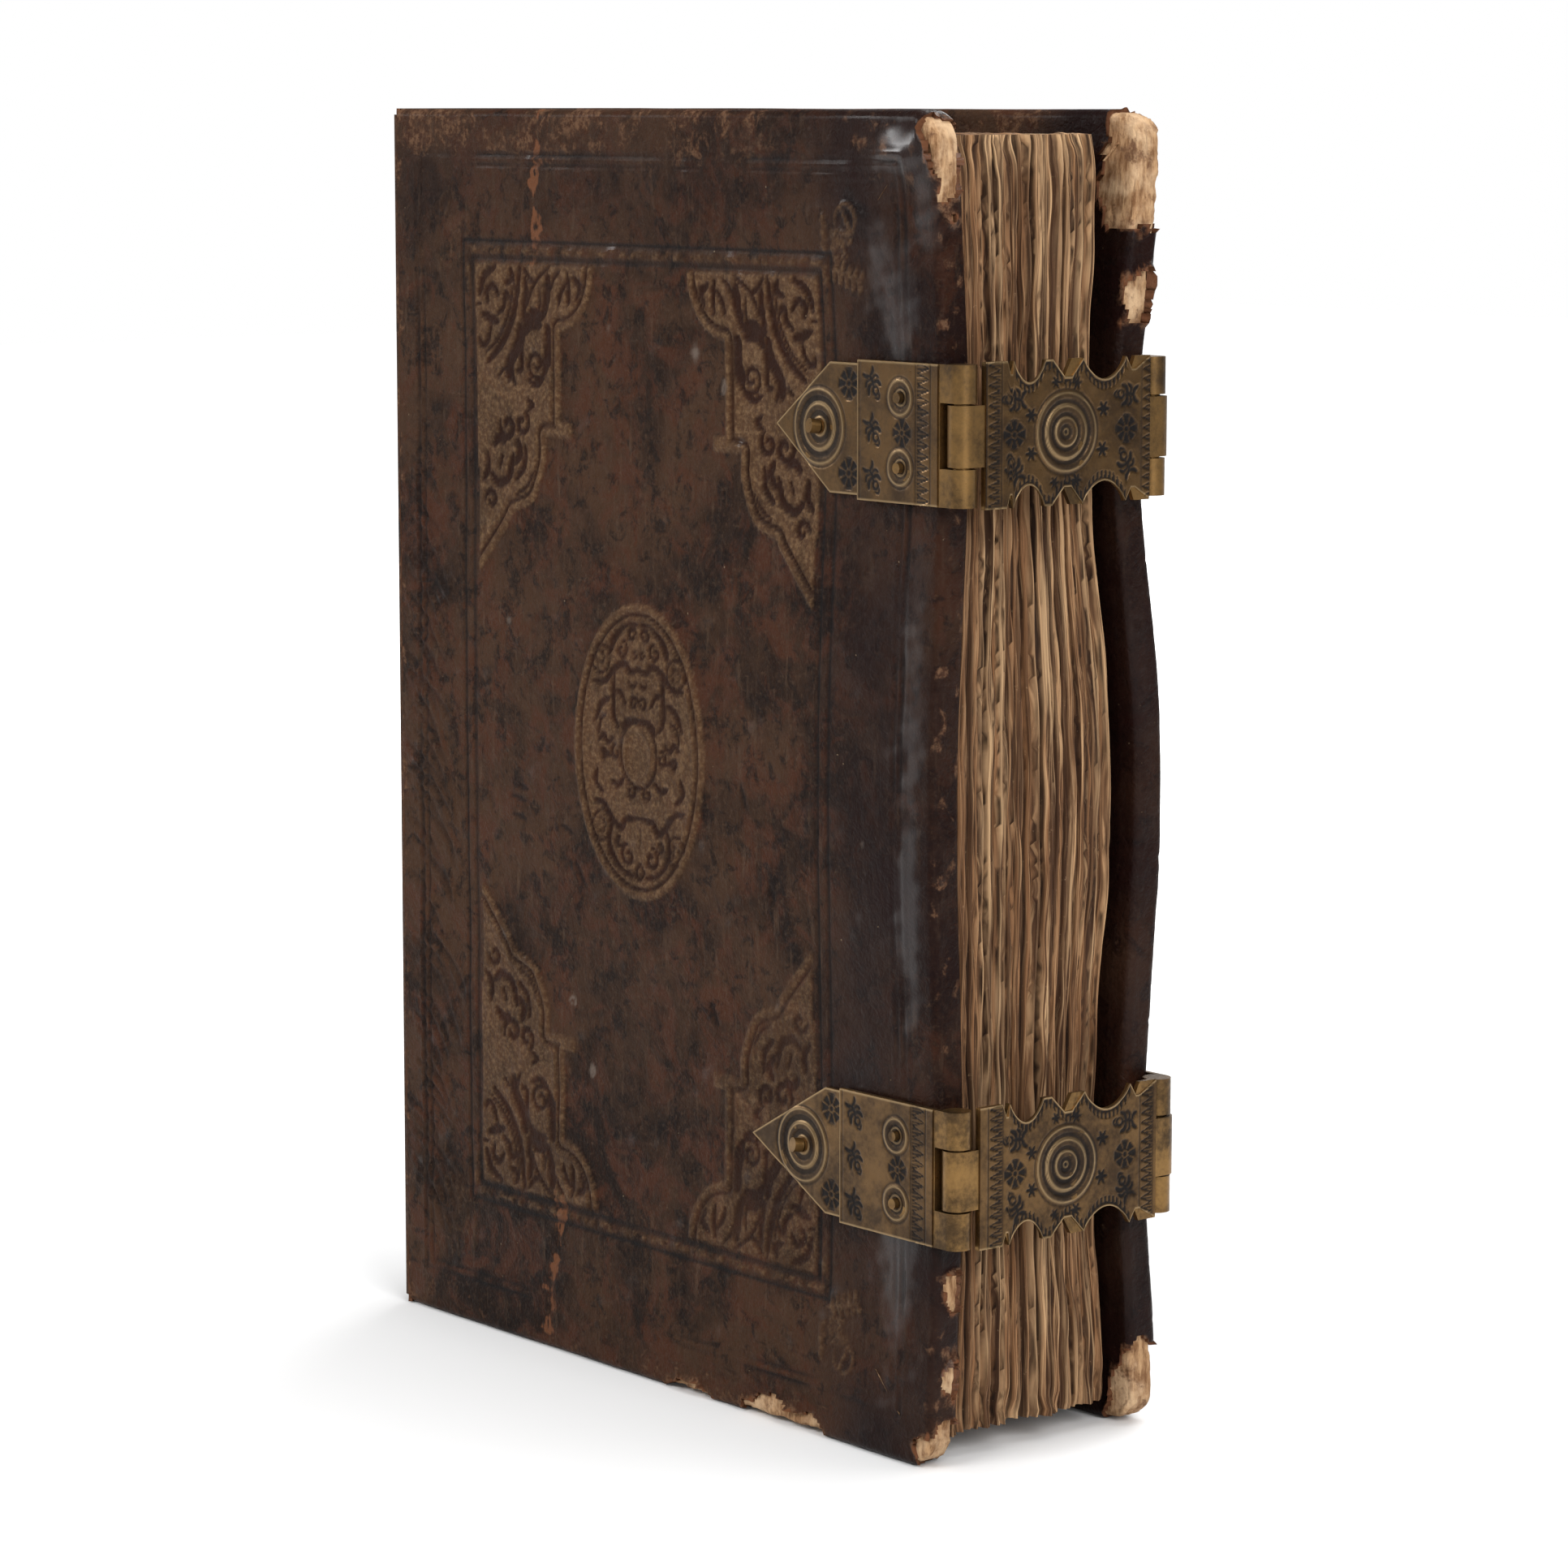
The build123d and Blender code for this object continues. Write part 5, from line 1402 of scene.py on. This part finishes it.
def leather_material():
    recipe = Recipe("old_calf_leather")
    patch = recipe.noise(30, 5, 0.62, twist=0.5)
    mottle = recipe.noise(8, 6, 0.68, twist=0.8)
    cloud = recipe.noise(3.2, 5, 0.7, twist=0.5)
    fine = recipe.noise(0.8, 4, 0.7)
    streak = recipe.noise(1.3, 4, 0.6, recipe.stretch((1.0, 1.0, 0.16)))
    gloss = recipe.attribute("gloss")
    colour = recipe.mix(recipe.ramp(patch, 0.38, 0.62), LEATHER_DARK, LEATHER_BROWN)
    colour = recipe.veil(colour, mottle, 0.44, 0.64, 0.8, LEATHER_RED)
    colour = recipe.veil(colour, cloud, 0.49, 0.66, 0.85, LEATHER_BLACK)
    colour = recipe.veil(colour, streak, 0.56, 0.74, 0.45, LEATHER_RUBBED)
    colour = recipe.veil(colour, fine, 0.50, 0.75, 0.5, LEATHER_RUBBED)
    purple = recipe.mix(recipe.ramp(mottle, 0.4, 0.65), GLOSS_PURPLE, GLOSS_BLACK)
    colour = recipe.mix(recipe.math("MULTIPLY", gloss, 0.85), colour, purple)
    wear = recipe.math("ADD", recipe.attribute("worn"), recipe.ramp(cloud, 0.3, 0.75, -0.45, 0.45))
    worn = recipe.ramp(wear, 0.25, 0.85)
    colour = recipe.mix(worn, colour, recipe.mix(recipe.ramp(fine, 0.4, 0.6), WORN_DARK, WORN_LIGHT))
    broken = recipe.math("ADD", recipe.attribute("red"), recipe.ramp(streak, 0.35, 0.65, -0.45, 0.3))
    red = recipe.ramp(broken, 0.35, 0.85)
    colour = recipe.mix(recipe.math("MULTIPLY", red, 0.85), colour, CRACK_RED)
    rubbed = recipe.math("MULTIPLY", recipe.attribute("raised"), recipe.ramp(mottle, 0.25, 0.6, 0.5, 1.0))
    plateau = recipe.mix(recipe.ramp(fine, 0.4, 0.7), RAISED_DARK, RAISED_LIGHT)
    colour = recipe.mix(recipe.math("MULTIPLY", rubbed, 0.9), colour, plateau)
    colour = recipe.stain(colour, "cut", 0.9, SUNK_BROWN)
    colour = recipe.stain(colour, "line", 0.85, FILLET_BLACK)
    # Painted shade in the creases, cracks and nicks, laid by the crease field
    colour = recipe.mix(recipe.attribute("crease"), colour, CREASE_SHADE)
    colour = recipe.stain(colour, "scuff", 0.75, SCUFF_GREY)
    speck = recipe.ramp(recipe.noise(0.9, 2, 0.5), 0.775, 0.80)
    colour = recipe.mix(recipe.math("MULTIPLY", speck, 0.8), colour, SPECK_TAN)
    colour = recipe.mix(recipe.attribute("rim"), colour, TORN_EDGE)
    polish = recipe.math("MULTIPLY", gloss, -0.10)
    rough = recipe.math("ADD", recipe.ramp(mottle, 0.3, 0.7, 0.50, 0.36), polish)
    rough = recipe.math("ADD", rough, recipe.math("MULTIPLY", worn, 0.25), clamp=True)
    shine = recipe.math("MULTIPLY", gloss, recipe.ramp(patch, 0.35, 0.65, 0.0, 0.10))
    shine = recipe.math("ADD", shine, recipe.math("MULTIPLY", recipe.attribute("shine"), 0.5), clamp=True)
    recipe.put(recipe.shader.inputs["Coat Weight"], shine)
    recipe.shader.inputs["Coat Roughness"].default_value = 0.16
    recipe.shader.inputs["Specular IOR Level"].default_value = 0.05
    return recipe.finish(colour, rough, leather_relief(recipe))


def leather_relief(recipe):
    """Lumps, folds, grain, cracks and pores, from the broadest to the finest."""
    cracks = recipe.cells(2.2, "DISTANCE_TO_EDGE")
    normal = recipe.bump(recipe.noise(13, 3, 0.5), 1.2, 0.6)
    normal = recipe.bump(recipe.noise(2.6, 6, 0.68, twist=1.2), 0.42, 0.7, normal)
    normal = recipe.bump(recipe.cells(0.7), 0.09, 0.6, normal)
    normal = recipe.bump(recipe.ramp(cracks, 0.0, 0.10), 0.12, 0.22, normal)
    return recipe.bump(recipe.noise(0.3, 3, 0.6), 0.06, 0.6, normal)


def board_material():
    recipe = Recipe("worn_board_fibre")
    streak = recipe.noise(1.0, 5, 0.65, recipe.stretch((1.0, 1.0, 0.22)))
    patch = recipe.noise(5, 4, 0.6)
    fine = recipe.noise(0.35, 4, 0.7)
    colour = recipe.mix(recipe.ramp(streak, 0.35, 0.68), FIBRE_DARK, FIBRE_TAN)
    colour = recipe.veil(colour, patch, 0.42, 0.70, 0.8, FIBRE_PALE)
    colour = recipe.veil(colour, recipe.noise(3.2, 4, 0.7), 0.56, 0.68, 0.85, FIBRE_DIRT)
    normal = recipe.bump(streak, 0.5, 0.8)
    normal = recipe.bump(fine, 0.2, 0.7, normal)
    recipe.shader.inputs["Specular IOR Level"].default_value = 0.2
    return recipe.finish(colour, 0.9, normal)


# How fast the leaves' lines change across the block and along it
LEAF_SCALE = 0.055
ALONG_SCALE = 0.014


def leaf_material():
    recipe = Recipe("old_leaf_edges")
    leaf = recipe.attribute("leaf")
    combine = recipe.nodes.new("ShaderNodeCombineXYZ")
    separate = recipe.nodes.new("ShaderNodeSeparateXYZ")
    recipe.links.new(recipe.place, separate.inputs[0])
    for index, value, scale in (
        (0, leaf, LEAF_SCALE),
        (1, separate.outputs[0], ALONG_SCALE),
        (2, separate.outputs[2], ALONG_SCALE),
    ):
        recipe.links.new(recipe.math("MULTIPLY", value, scale), combine.inputs[index])
    lines = recipe.noise(0.42, 3, 0.6, combine.outputs[0])
    thin = recipe.noise(0.16, 2, 0.6, combine.outputs[0])
    blotch = recipe.noise(7, 5, 0.65, recipe.stretch((1.0, 1.0, 0.16)))
    fine = recipe.noise(0.9, 4, 0.7)
    tone = recipe.attribute("tone")
    colour = recipe.mix(recipe.ramp(lines, 0.34, 0.66), LEAF_DARK, LEAF_TAN)
    colour = recipe.veil(colour, thin, 0.52, 0.70, 0.55, LEAF_PALE)
    colour = recipe.veil(colour, tone, 0.45, 0.85, 0.7, LEAF_SHADE)
    broken = recipe.ramp(recipe.math("ADD", blotch, lines), 0.85, 1.2)
    lit = recipe.math("MULTIPLY", recipe.attribute("bright"), broken)
    colour = recipe.mix(recipe.math("MULTIPLY", lit, 0.85), colour, LEAF_LIT)
    colour = recipe.veil(colour, blotch, 0.5, 0.75, 0.5, LEAF_BLOTCH)
    # Painted shade in the gaps between gatherings and between ribs
    colour = recipe.stain(colour, "gap", 0.9, LEAF_GAP_SHADE)
    colour = recipe.veil(colour, fine, 0.62, 0.78, 0.4, LEAF_FLECK)
    normal = recipe.bump(lines, 0.25, 0.8)
    normal = recipe.bump(thin, 0.10, 0.8, normal)
    normal = recipe.bump(fine, 0.08, 0.5, normal)
    recipe.shader.inputs["Specular IOR Level"].default_value = 0.25
    return recipe.finish(colour, 0.82, normal)


def brass_material(name, polished, tarnish, stamped):
    """Old brass: brown patina with polish showing through. stamped brass has dark sunk marks and lighter
    edges, partly polish and partly a painted highlight.
    """
    recipe = Recipe(name)
    patch = recipe.noise(8, 5, 0.6)
    fine = recipe.noise(0.8, 4, 0.65)
    scratch = recipe.noise(0.25, 3, 0.6, recipe.stretch((0.2, 0.2, 1.0)))
    dirt = recipe.ramp(recipe.math("ADD", patch, recipe.math("MULTIPLY", fine, 0.4)), 0.50, 0.90)
    colour = recipe.mix(dirt, polished, tarnish)
    rough = recipe.math("ADD", recipe.ramp(fine, 0.3, 0.8, 0.27, 0.42), recipe.math("MULTIPLY", dirt, 0.10))
    if stamped:
        # The raised field paints the edges lighter: partly polish, partly a painted highlight
        colour = recipe.stain(colour, "raised", 0.9, STAMP_POLISH_AND_HIGHLIGHT)
        colour = recipe.stain(colour, "cut", 0.95, STAMP_SUNK)
        rough = recipe.math("ADD", rough, recipe.math("MULTIPLY", recipe.attribute("cut"), 0.25))
    normal = recipe.bump(fine, 0.03, 0.5)
    normal = recipe.bump(scratch, 0.012, 0.4, normal)
    recipe.shader.inputs["Metallic"].default_value = 0.9
    return recipe.finish(colour, rough, normal)


def paper_material(name, light, dark, stain):
    recipe = Recipe(name)
    patch = recipe.noise(26, 5, 0.6)
    fibre = recipe.noise(0.6, 5, 0.7)
    cockle = recipe.noise(18, 2, 0.5, recipe.stretch((1.0, 1.0, 0.35)))
    colour = recipe.mix(recipe.ramp(patch, 0.30, 0.75), light, dark)
    colour = recipe.veil(colour, recipe.noise(5, 5, 0.7), 0.60, 0.78, 0.6, stain)
    colour = recipe.veil(colour, recipe.noise(1.4, 3, 0.6), 0.66, 0.74, 0.5, stain)
    normal = recipe.bump(cockle, 1.2, 0.6)
    return recipe.finish(colour, 0.85, recipe.bump(fibre, 0.05, 0.6, normal))


def linen_material():
    recipe = Recipe("sewing_linen")
    twist = recipe.noise(0.5, 3, 0.6, recipe.stretch((1.0, 1.0, 0.3)))
    colour = recipe.mix(recipe.ramp(twist, 0.35, 0.7), LINEN_DARK, LINEN_PALE)
    return recipe.finish(colour, 0.85, recipe.bump(twist, 0.2, 0.8))


def floor_material():
    """A pale floor that shows white to the camera and keeps the shadow."""
    recipe = Recipe("pale_floor")
    recipe.shader.inputs["Base Color"].default_value = (0.80, 0.80, 0.80, 1)
    recipe.shader.inputs["Roughness"].default_value = 1.0
    recipe.shader.inputs["Specular IOR Level"].default_value = 0.0
    path = recipe.nodes.new("ShaderNodeLightPath")
    glow = recipe.nodes.new("ShaderNodeEmission")
    add = recipe.nodes.new("ShaderNodeAddShader")
    length = recipe.nodes.new("ShaderNodeVectorMath")
    length.operation = "LENGTH"
    recipe.links.new(recipe.place, length.inputs[0])
    level = recipe.ramp(length.outputs["Value"], *FLOOR_FADE, FLOOR_GLOW, 1.0)
    seen = recipe.math("MULTIPLY", path.outputs["Is Camera Ray"], level)
    recipe.links.new(seen, glow.inputs["Strength"])
    recipe.links.new(recipe.shader.outputs[0], add.inputs[0])
    recipe.links.new(glow.outputs[0], add.inputs[1])
    recipe.links.new(add.outputs[0], recipe.nodes["Material Output"].inputs["Surface"])
    return recipe.material


# Studio

FLOOR_GLOW = 0.02
FLOOR_FADE = (0.17, 0.6)
FLOOR_SIZE = 6.0
FLOOR_DROP = 0.0002
SENSOR = 36.0
WHITE = (1.0, 1.0, 1.0, 1)
LAMP_AIM = (0, 0, 0.1)
WORLD_LEVEL = 0.22
# Name, place, size and power
LAMPS = (
    ("key", (0.10, -1.55, 1.30), (0.9, 0.7), 20.0),
    ("sheen", (-1.35, -1.00, 0.62), (0.40, 0.40), 7.0),
    ("side", (1.35, -0.30, 0.85), (0.8, 1.0), 19.0),
    ("top", (0.15, 0.30, 1.5), (1.0, 1.0), 16.0),
    ("rear", (-0.6, 1.4, 0.9), (1.0, 0.8), 14.0),
)
CAMERA_TURN = 50.68
CAMERA_DISTANCE = 0.7912
CAMERA_SIDE = 0.00419
CAMERA_HEIGHT = 0.2017
CAMERA_DROP = 7.77
CAMERA_LENS = 115.44


def make_studio():
    world = bpy.data.worlds.new("studio")
    bpy.context.scene.world = world
    world.use_nodes = True
    nodes, links = world.node_tree.nodes, world.node_tree.links
    light = nodes["Background"]
    light.inputs["Color"].default_value = WHITE
    light.inputs["Strength"].default_value = WORLD_LEVEL
    white = nodes.new("ShaderNodeBackground")
    white.inputs["Color"].default_value = WHITE
    white.inputs["Strength"].default_value = 1.0
    path = nodes.new("ShaderNodeLightPath")
    choose = nodes.new("ShaderNodeMixShader")
    seen = nodes.new("ShaderNodeMath")
    seen.operation = "MAXIMUM"
    links.new(path.outputs["Is Camera Ray"], seen.inputs[0])
    links.new(path.outputs["Is Transmission Ray"], seen.inputs[1])
    links.new(seen.outputs[0], choose.inputs[0])
    links.new(light.outputs[0], choose.inputs[1])
    links.new(white.outputs[0], choose.inputs[2])
    links.new(choose.outputs[0], nodes["World Output"].inputs["Surface"])
    bpy.ops.mesh.primitive_plane_add(size=FLOOR_SIZE, location=(0, 0, -FLOOR_DROP))
    floor = bpy.context.object
    floor.name = "floor"
    floor.data.materials.append(floor_material())


def add_lamp(name, place, size, power):
    data = bpy.data.lights.new(name, "AREA")
    data.shape = "RECTANGLE"
    data.size, data.size_y = size
    data.energy = power
    lamp = bpy.data.objects.new(name, data)
    lamp.location = place
    lamp.visible_camera = False
    lamp.rotation_euler = (Vector(LAMP_AIM) - Vector(place)).to_track_quat("-Z", "Y").to_euler()
    bpy.context.scene.collection.objects.link(lamp)


def make_camera():
    turn = math.radians(CAMERA_TURN)
    forward = Vector((-math.sin(turn), math.cos(turn), 0))
    right = Vector((math.cos(turn), math.sin(turn), 0))
    data = bpy.data.cameras.new("camera")
    data.lens = CAMERA_LENS
    data.sensor_width = SENSOR
    camera = bpy.data.objects.new("camera", data)
    middle = Vector((WIDTH / 2 * MM + JOINT_X, MIDDLE_Y, 0))
    camera.location = middle - forward * CAMERA_DISTANCE + right * CAMERA_SIDE + Vector((0, 0, CAMERA_HEIGHT))
    drop = math.radians(CAMERA_DROP)
    look = forward * math.cos(drop) - Vector((0, 0, math.sin(drop)))
    camera.rotation_euler = look.to_track_quat("-Z", "Y").to_euler()
    bpy.context.scene.collection.objects.link(camera)
    bpy.context.scene.camera = camera


def dress(node, material):
    mesh = frame["nodes"][node].data
    mesh.materials.clear()
    mesh.materials.append(material)


def carry(piece, body, slot, *nodes):
    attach(piece, body)
    if nodes:
        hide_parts(*nodes)


# Spacing of the leather's grid, and how much coarser it is away from the front panel
SPACING = 0.485
FRONT_BORDER_SPACING = 1.25
BACK_PANEL_SPACING = 1.4
BACK_BORDER_SPACING = 1.5
FRONT_SEED = 101
BACK_SEED = 201
# Bare board: start and end as shares of the way round the cover, and seed
FRONT_BARE = (("front_head_fibre", 0.66, 0.78, 301), ("front_tail_fibre", 0.13, 0.37, 303))
BACK_BARE = (("back_head_fibre", 0.60, 0.80, 305), ("back_tail_fibre", 0.24, 0.36, 307))


def dress_front(leather, wood):
    spacing = SPACING
    middle = HEIGHT / 2
    for name, z_range in (
        ("front_panel_low", (FRAME_WIDTH, middle)),
        ("front_panel_high", (middle, HEIGHT - FRAME_WIDTH)),
    ):
        piece = cover_middle(
            name, FRONT, FRONT_BOW, front_fields, FRONT_TEARS, FRONT_SEED, spacing, z_range, leather
        )
        carry(piece, "front_cover", "cover_leather", "front_leather")
    piece = cover_strip(
        "front_border", FRONT, FRONT_BOW, front_fields, FRONT_TEARS, FRONT_SEED,
        spacing * FRONT_BORDER_SPACING, leather,
    )
    carry(piece, "front_cover", "cover_leather", "front_leather")
    for name, start, end, seed in FRONT_BARE:
        carry(bare_patch(name, FRONT, FRONT_BOW, start, end, wood, seed), "front_cover", "board_wood")


def dress_back(leather, wood):
    spacing = SPACING
    piece = cover_middle(
        "back_panel", BACK, BACK_BOW, back_fields, BACK_TEARS, BACK_SEED,
        spacing * BACK_PANEL_SPACING, (FRAME_WIDTH, HEIGHT - FRAME_WIDTH), leather,
    )
    carry(piece, "back_cover", "cover_leather", "back_leather")
    piece = cover_strip(
        "back_border", BACK, BACK_BOW, back_fields, BACK_TEARS, BACK_SEED,
        spacing * BACK_BORDER_SPACING, leather,
    )
    carry(piece, "back_cover", "cover_leather", "back_leather")
    for name, start, end, seed in BACK_BARE:
        carry(bare_patch(name, BACK, BACK_BOW, start, end, wood, seed), "back_cover", "board_wood")


def dress_block(leather):
    for piece in leaf_block(leaf_material(), paper_material("aged_leaf_face", *LEAF_FACE_TONES)):
        carry(piece, "book_block", "leaf_edges", "text_block")
    carry(spine_skin(leather), "book_block", "cover_leather", "spine_leather")
    for name, side, body in (("front_joint", FRONT, "front_cover"), ("back_joint", BACK, "back_cover")):
        strip = joint_strip(name, side, leather)
        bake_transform(strip)


def dress_clasps(brass, stamped):
    for name, (z0, shape) in CLASPS.items():
        for piece in anchor_skins(name, z0, shape, stamped):
            carry(piece, "front_cover", "clasp_brass")
        carry(arm_skin(name, z0, stamped), f"{name}_clasp", "clasp_brass")
        for part in ("anchor_plate", "hinge_pin", "clasp_arm", "catch_plate", "catch_pin"):
            dress(f"{name}_{part}", brass)
    for node in ("large_rivets", "small_rivets", "catch_rivets"):
        dress(node, brass)


def main():
    bpy.context.scene.view_settings.view_transform = "Standard"
    make_camera()
    make_studio()
    for lamp in LAMPS:
        add_lamp(*lamp)
    leather = leather_material()
    wood = board_material()
    dress_front(leather, wood)
    dress_back(leather, wood)
    dress_block(leather)
    brass = brass_material("old_brass", *BRASS_TONES, False)
    dress_clasps(brass, brass_material("stamped_brass", *STAMPED_TONES, True))
    for node in ("front_board", "back_board"):
        dress(node, wood)
    lining = paper_material("aged_lining_paper", *LINING_TONES)
    for node in ("front_pastedown", "back_pastedown"):
        dress(node, lining)
    linen = linen_material()
    for node in ("headband", "tailband", "band_1", "band_2", "band_3", "band_4"):
        dress(node, linen)


main()
